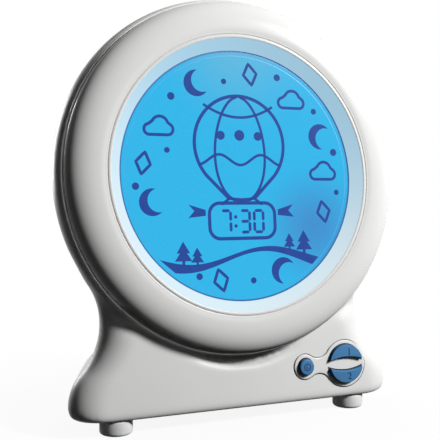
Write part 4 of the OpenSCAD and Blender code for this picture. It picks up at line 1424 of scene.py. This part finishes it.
def stage_pieces(body):
    """Pale floor, soft lamps, white world and the camera."""
    deselect()
    bpy.ops.mesh.primitive_plane_add(size=6, location=(0, 0, 0))
    floor = bpy.context.object
    floor.name = "floor"
    floor.data.materials.append(floor_material())
    floor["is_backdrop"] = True
    world = bpy.data.worlds.new("studio")
    bpy.context.scene.world = world
    world.use_nodes = True
    tree = world.node_tree
    tree.nodes.clear()
    rays = seen_rays(tree)
    dim = add(tree, "ShaderNodeBackground", {"Color": (1, 1, 1, 1), "Strength": WORLD_LIGHT})
    white = add(tree, "ShaderNodeBackground", {"Color": (1, 1, 1, 1), "Strength": 1.0})
    mix = add(
        tree, "ShaderNodeMixShader",
        links={0: rays, 1: dim.outputs["Background"], 2: white.outputs["Background"]},
    )
    add(tree, "ShaderNodeOutputWorld", links={"Surface": mix.outputs["Shader"]})
    for name, place, width, height, watts, bounces in LAMPS:
        lamp = bpy.data.lights.new(name, "AREA")
        lamp.shape = "RECTANGLE"
        lamp.size, lamp.size_y = width, height
        lamp.energy = watts
        # A lamp with no bounces leaves the hollows of the white shell dark
        lamp.cycles.max_bounces = bounces
        obj = bpy.data.objects.new(name, lamp)
        bpy.context.collection.objects.link(obj)
        obj.location = place
        aim = Vector((0, 0, 0.09)) - Vector(place)
        obj.rotation_euler = aim.to_track_quat("-Z", "Y").to_euler()
    camera = bpy.data.cameras.new("camera")
    camera.sensor_width = 36
    camera.lens = CAMERA_LENS
    camera.clip_start, camera.clip_end = 0.01, 20
    view = bpy.data.objects.new("camera", camera)
    bpy.context.collection.objects.link(view)
    view.location = body.dial + Vector(CAMERA_FROM_DIAL)
    view.rotation_euler = Vector(CAMERA_LOOK).to_track_quat("-Z", "Y").to_euler()
    bpy.context.scene.camera = view
    bpy.context.scene.view_settings.view_transform = "Standard"


def seen_rays(tree):
    """1 on rays from the camera and through gloss or glass."""
    path = add(tree, "ShaderNodeLightPath")
    first = add(
        tree, "ShaderNodeMath",
        links={0: path.outputs["Is Camera Ray"], 1: path.outputs["Is Glossy Ray"]},
        operation="MAXIMUM",
    )
    both = add(
        tree, "ShaderNodeMath",
        links={0: first.outputs["Value"], 1: path.outputs["Is Transmission Ray"]},
        operation="MAXIMUM",
    )
    return both.outputs["Value"]


def floor_material():
    """Matt paper sweep: white, with a soft shadow near the clock."""
    material, tree = new_material("Paper sweep")
    here = add(tree, "ShaderNodeTexCoord").outputs["Object"]
    rays = seen_rays(tree)
    paper = add(
        tree, "ShaderNodeBsdfDiffuse",
        links={"Color": mottled(tree, here, 2 * MM, (0.88, 0.88, 0.88), (0.9, 0.9, 0.9))},
    )
    glow = add(tree, "ShaderNodeEmission", {"Color": (1, 1, 1, 1), "Strength": 1.0})
    share = ranged(tree, nearness(tree, here, (0, 0, 0), 0.22), 1.0, 0.9)
    seen = add(
        tree, "ShaderNodeMixShader",
        links={0: share, 1: paper.outputs["BSDF"], 2: glow.outputs["Emission"]},
    )
    dark = add(tree, "ShaderNodeBsdfDiffuse", {"Color": (FLOOR_BOUNCE,) * 3 + (1,)})
    mix = add(
        tree, "ShaderNodeMixShader",
        links={0: rays, 1: dark.outputs["BSDF"], 2: seen.outputs["Shader"]},
    )
    add(tree, "ShaderNodeOutputMaterial", links={"Surface": mix.outputs["Shader"]})
    return material


# ---- operators ----


class CLOCK_OT_stage(Operator):
    """Adds the floor, the lamps, the white world and the camera"""

    bl_idname = "clock.stage"
    bl_label = "Stage"

    def execute(self, context):
        stage_pieces(Body(context.scene.clock_sizes))
        return {"FINISHED"}


class CLOCK_OT_shells(Operator):
    """Models the front and the rear housing"""

    bl_idname = "clock.shells"
    bl_label = "Housings"

    def execute(self, context):
        scene = context.scene
        shell_pieces(scene.clock_sizes, satin_abs(scene.clock_colours.shell))
        return {"FINISHED"}


class CLOCK_OT_bezel(Operator):
    """Models the crowned ring round the dial"""

    bl_idname = "clock.bezel"
    bl_label = "Bezel"

    def execute(self, context):
        scene = context.scene
        shell = scene.clock_colours.shell
        bezel_piece(scene.clock_sizes, glossy_abs(shell), shell)
        return {"FINISHED"}


class CLOCK_OT_light_ring(Operator):
    """Models the pale ring between the bezel and the lit disc"""

    bl_idname = "clock.light_ring"
    bl_label = "Light ring"

    def execute(self, context):
        scene = context.scene
        colours = scene.clock_colours
        light_ring_piece(scene.clock_sizes, colours, glossy_abs(colours.shell))
        return {"FINISHED"}


class CLOCK_OT_screen(Operator):
    """Models the lit disc and the fine line round it"""

    bl_idname = "clock.screen"
    bl_label = "Lit screen"

    def execute(self, context):
        scene = context.scene
        screen_pieces(scene.clock_sizes, scene.clock_colours)
        return {"FINISHED"}


class CLOCK_OT_picture(Operator):
    """Prints the picture and the time on the lit disc"""

    bl_idname = "clock.picture"
    bl_label = "Picture and time"

    def execute(self, context):
        scene = context.scene
        picture_pieces(scene.clock_sizes, scene.clock_colours)
        return {"FINISHED"}


class CLOCK_OT_plate(Operator):
    """Models the white plate round the buttons"""

    bl_idname = "clock.plate"
    bl_label = "Button plate"

    def execute(self, context):
        scene = context.scene
        plate_piece(scene.clock_sizes, glossy_abs(scene.clock_colours.shell, "Glossy ABS plate"))
        return {"FINISHED"}


class CLOCK_OT_buttons(Operator):
    """Models the three buttons and their marks"""

    bl_idname = "clock.buttons"
    bl_label = "Buttons"

    def execute(self, context):
        scene = context.scene
        button_pieces(scene.clock_sizes, scene.clock_colours)
        return {"FINISHED"}


class CLOCK_OT_feet(Operator):
    """Models the four feet"""

    bl_idname = "clock.feet"
    bl_label = "Feet"

    def execute(self, context):
        scene = context.scene
        foot_pieces(Body(scene.clock_sizes), rubber_material(scene.clock_colours.rubber))
        return {"FINISHED"}


class CLOCK_OT_inside(Operator):
    """Finishes the inner pieces that keep their CAD shape"""

    bl_idname = "clock.inside"
    bl_label = "Inner pieces"

    def execute(self, context):
        inner_materials()
        return {"FINISHED"}


OPERATORS = (
    CLOCK_OT_stage, CLOCK_OT_shells, CLOCK_OT_bezel, CLOCK_OT_light_ring, CLOCK_OT_screen,
    CLOCK_OT_picture, CLOCK_OT_plate, CLOCK_OT_buttons, CLOCK_OT_feet, CLOCK_OT_inside,
)


class CLOCK_PT_panel(Panel):
    """Lists the clock's pieces"""

    bl_idname = "CLOCK_PT_panel"
    bl_label = "Clock"
    bl_space_type = "VIEW_3D"
    bl_region_type = "UI"
    bl_category = "Clock"

    def draw(self, context):
        for operator in OPERATORS:
            self.layout.operator(operator.bl_idname)


CLASSES = (ClockSizes, ClockColours, *OPERATORS, CLOCK_PT_panel)


def register():
    for made in CLASSES:
        bpy.utils.register_class(made)
    bpy.types.Scene.clock_sizes = PointerProperty(type=ClockSizes)
    bpy.types.Scene.clock_colours = PointerProperty(type=ClockColours)


def unregister():
    del bpy.types.Scene.clock_sizes
    del bpy.types.Scene.clock_colours
    for made in reversed(CLASSES):
        bpy.utils.unregister_class(made)


def main():
    register()
    bpy.ops.clock.stage()
    bpy.ops.clock.shells()
    bpy.ops.clock.bezel()
    bpy.ops.clock.light_ring()
    bpy.ops.clock.screen()
    bpy.ops.clock.picture()
    bpy.ops.clock.plate()
    bpy.ops.clock.buttons()
    bpy.ops.clock.feet()
    bpy.ops.clock.inside()
    boxes = {"cad": CAD_BOX, "visual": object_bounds()}
    {name: [list(corner) for corner in box] for name, box in boxes.items()}


if __name__ == "__main__":
    main()
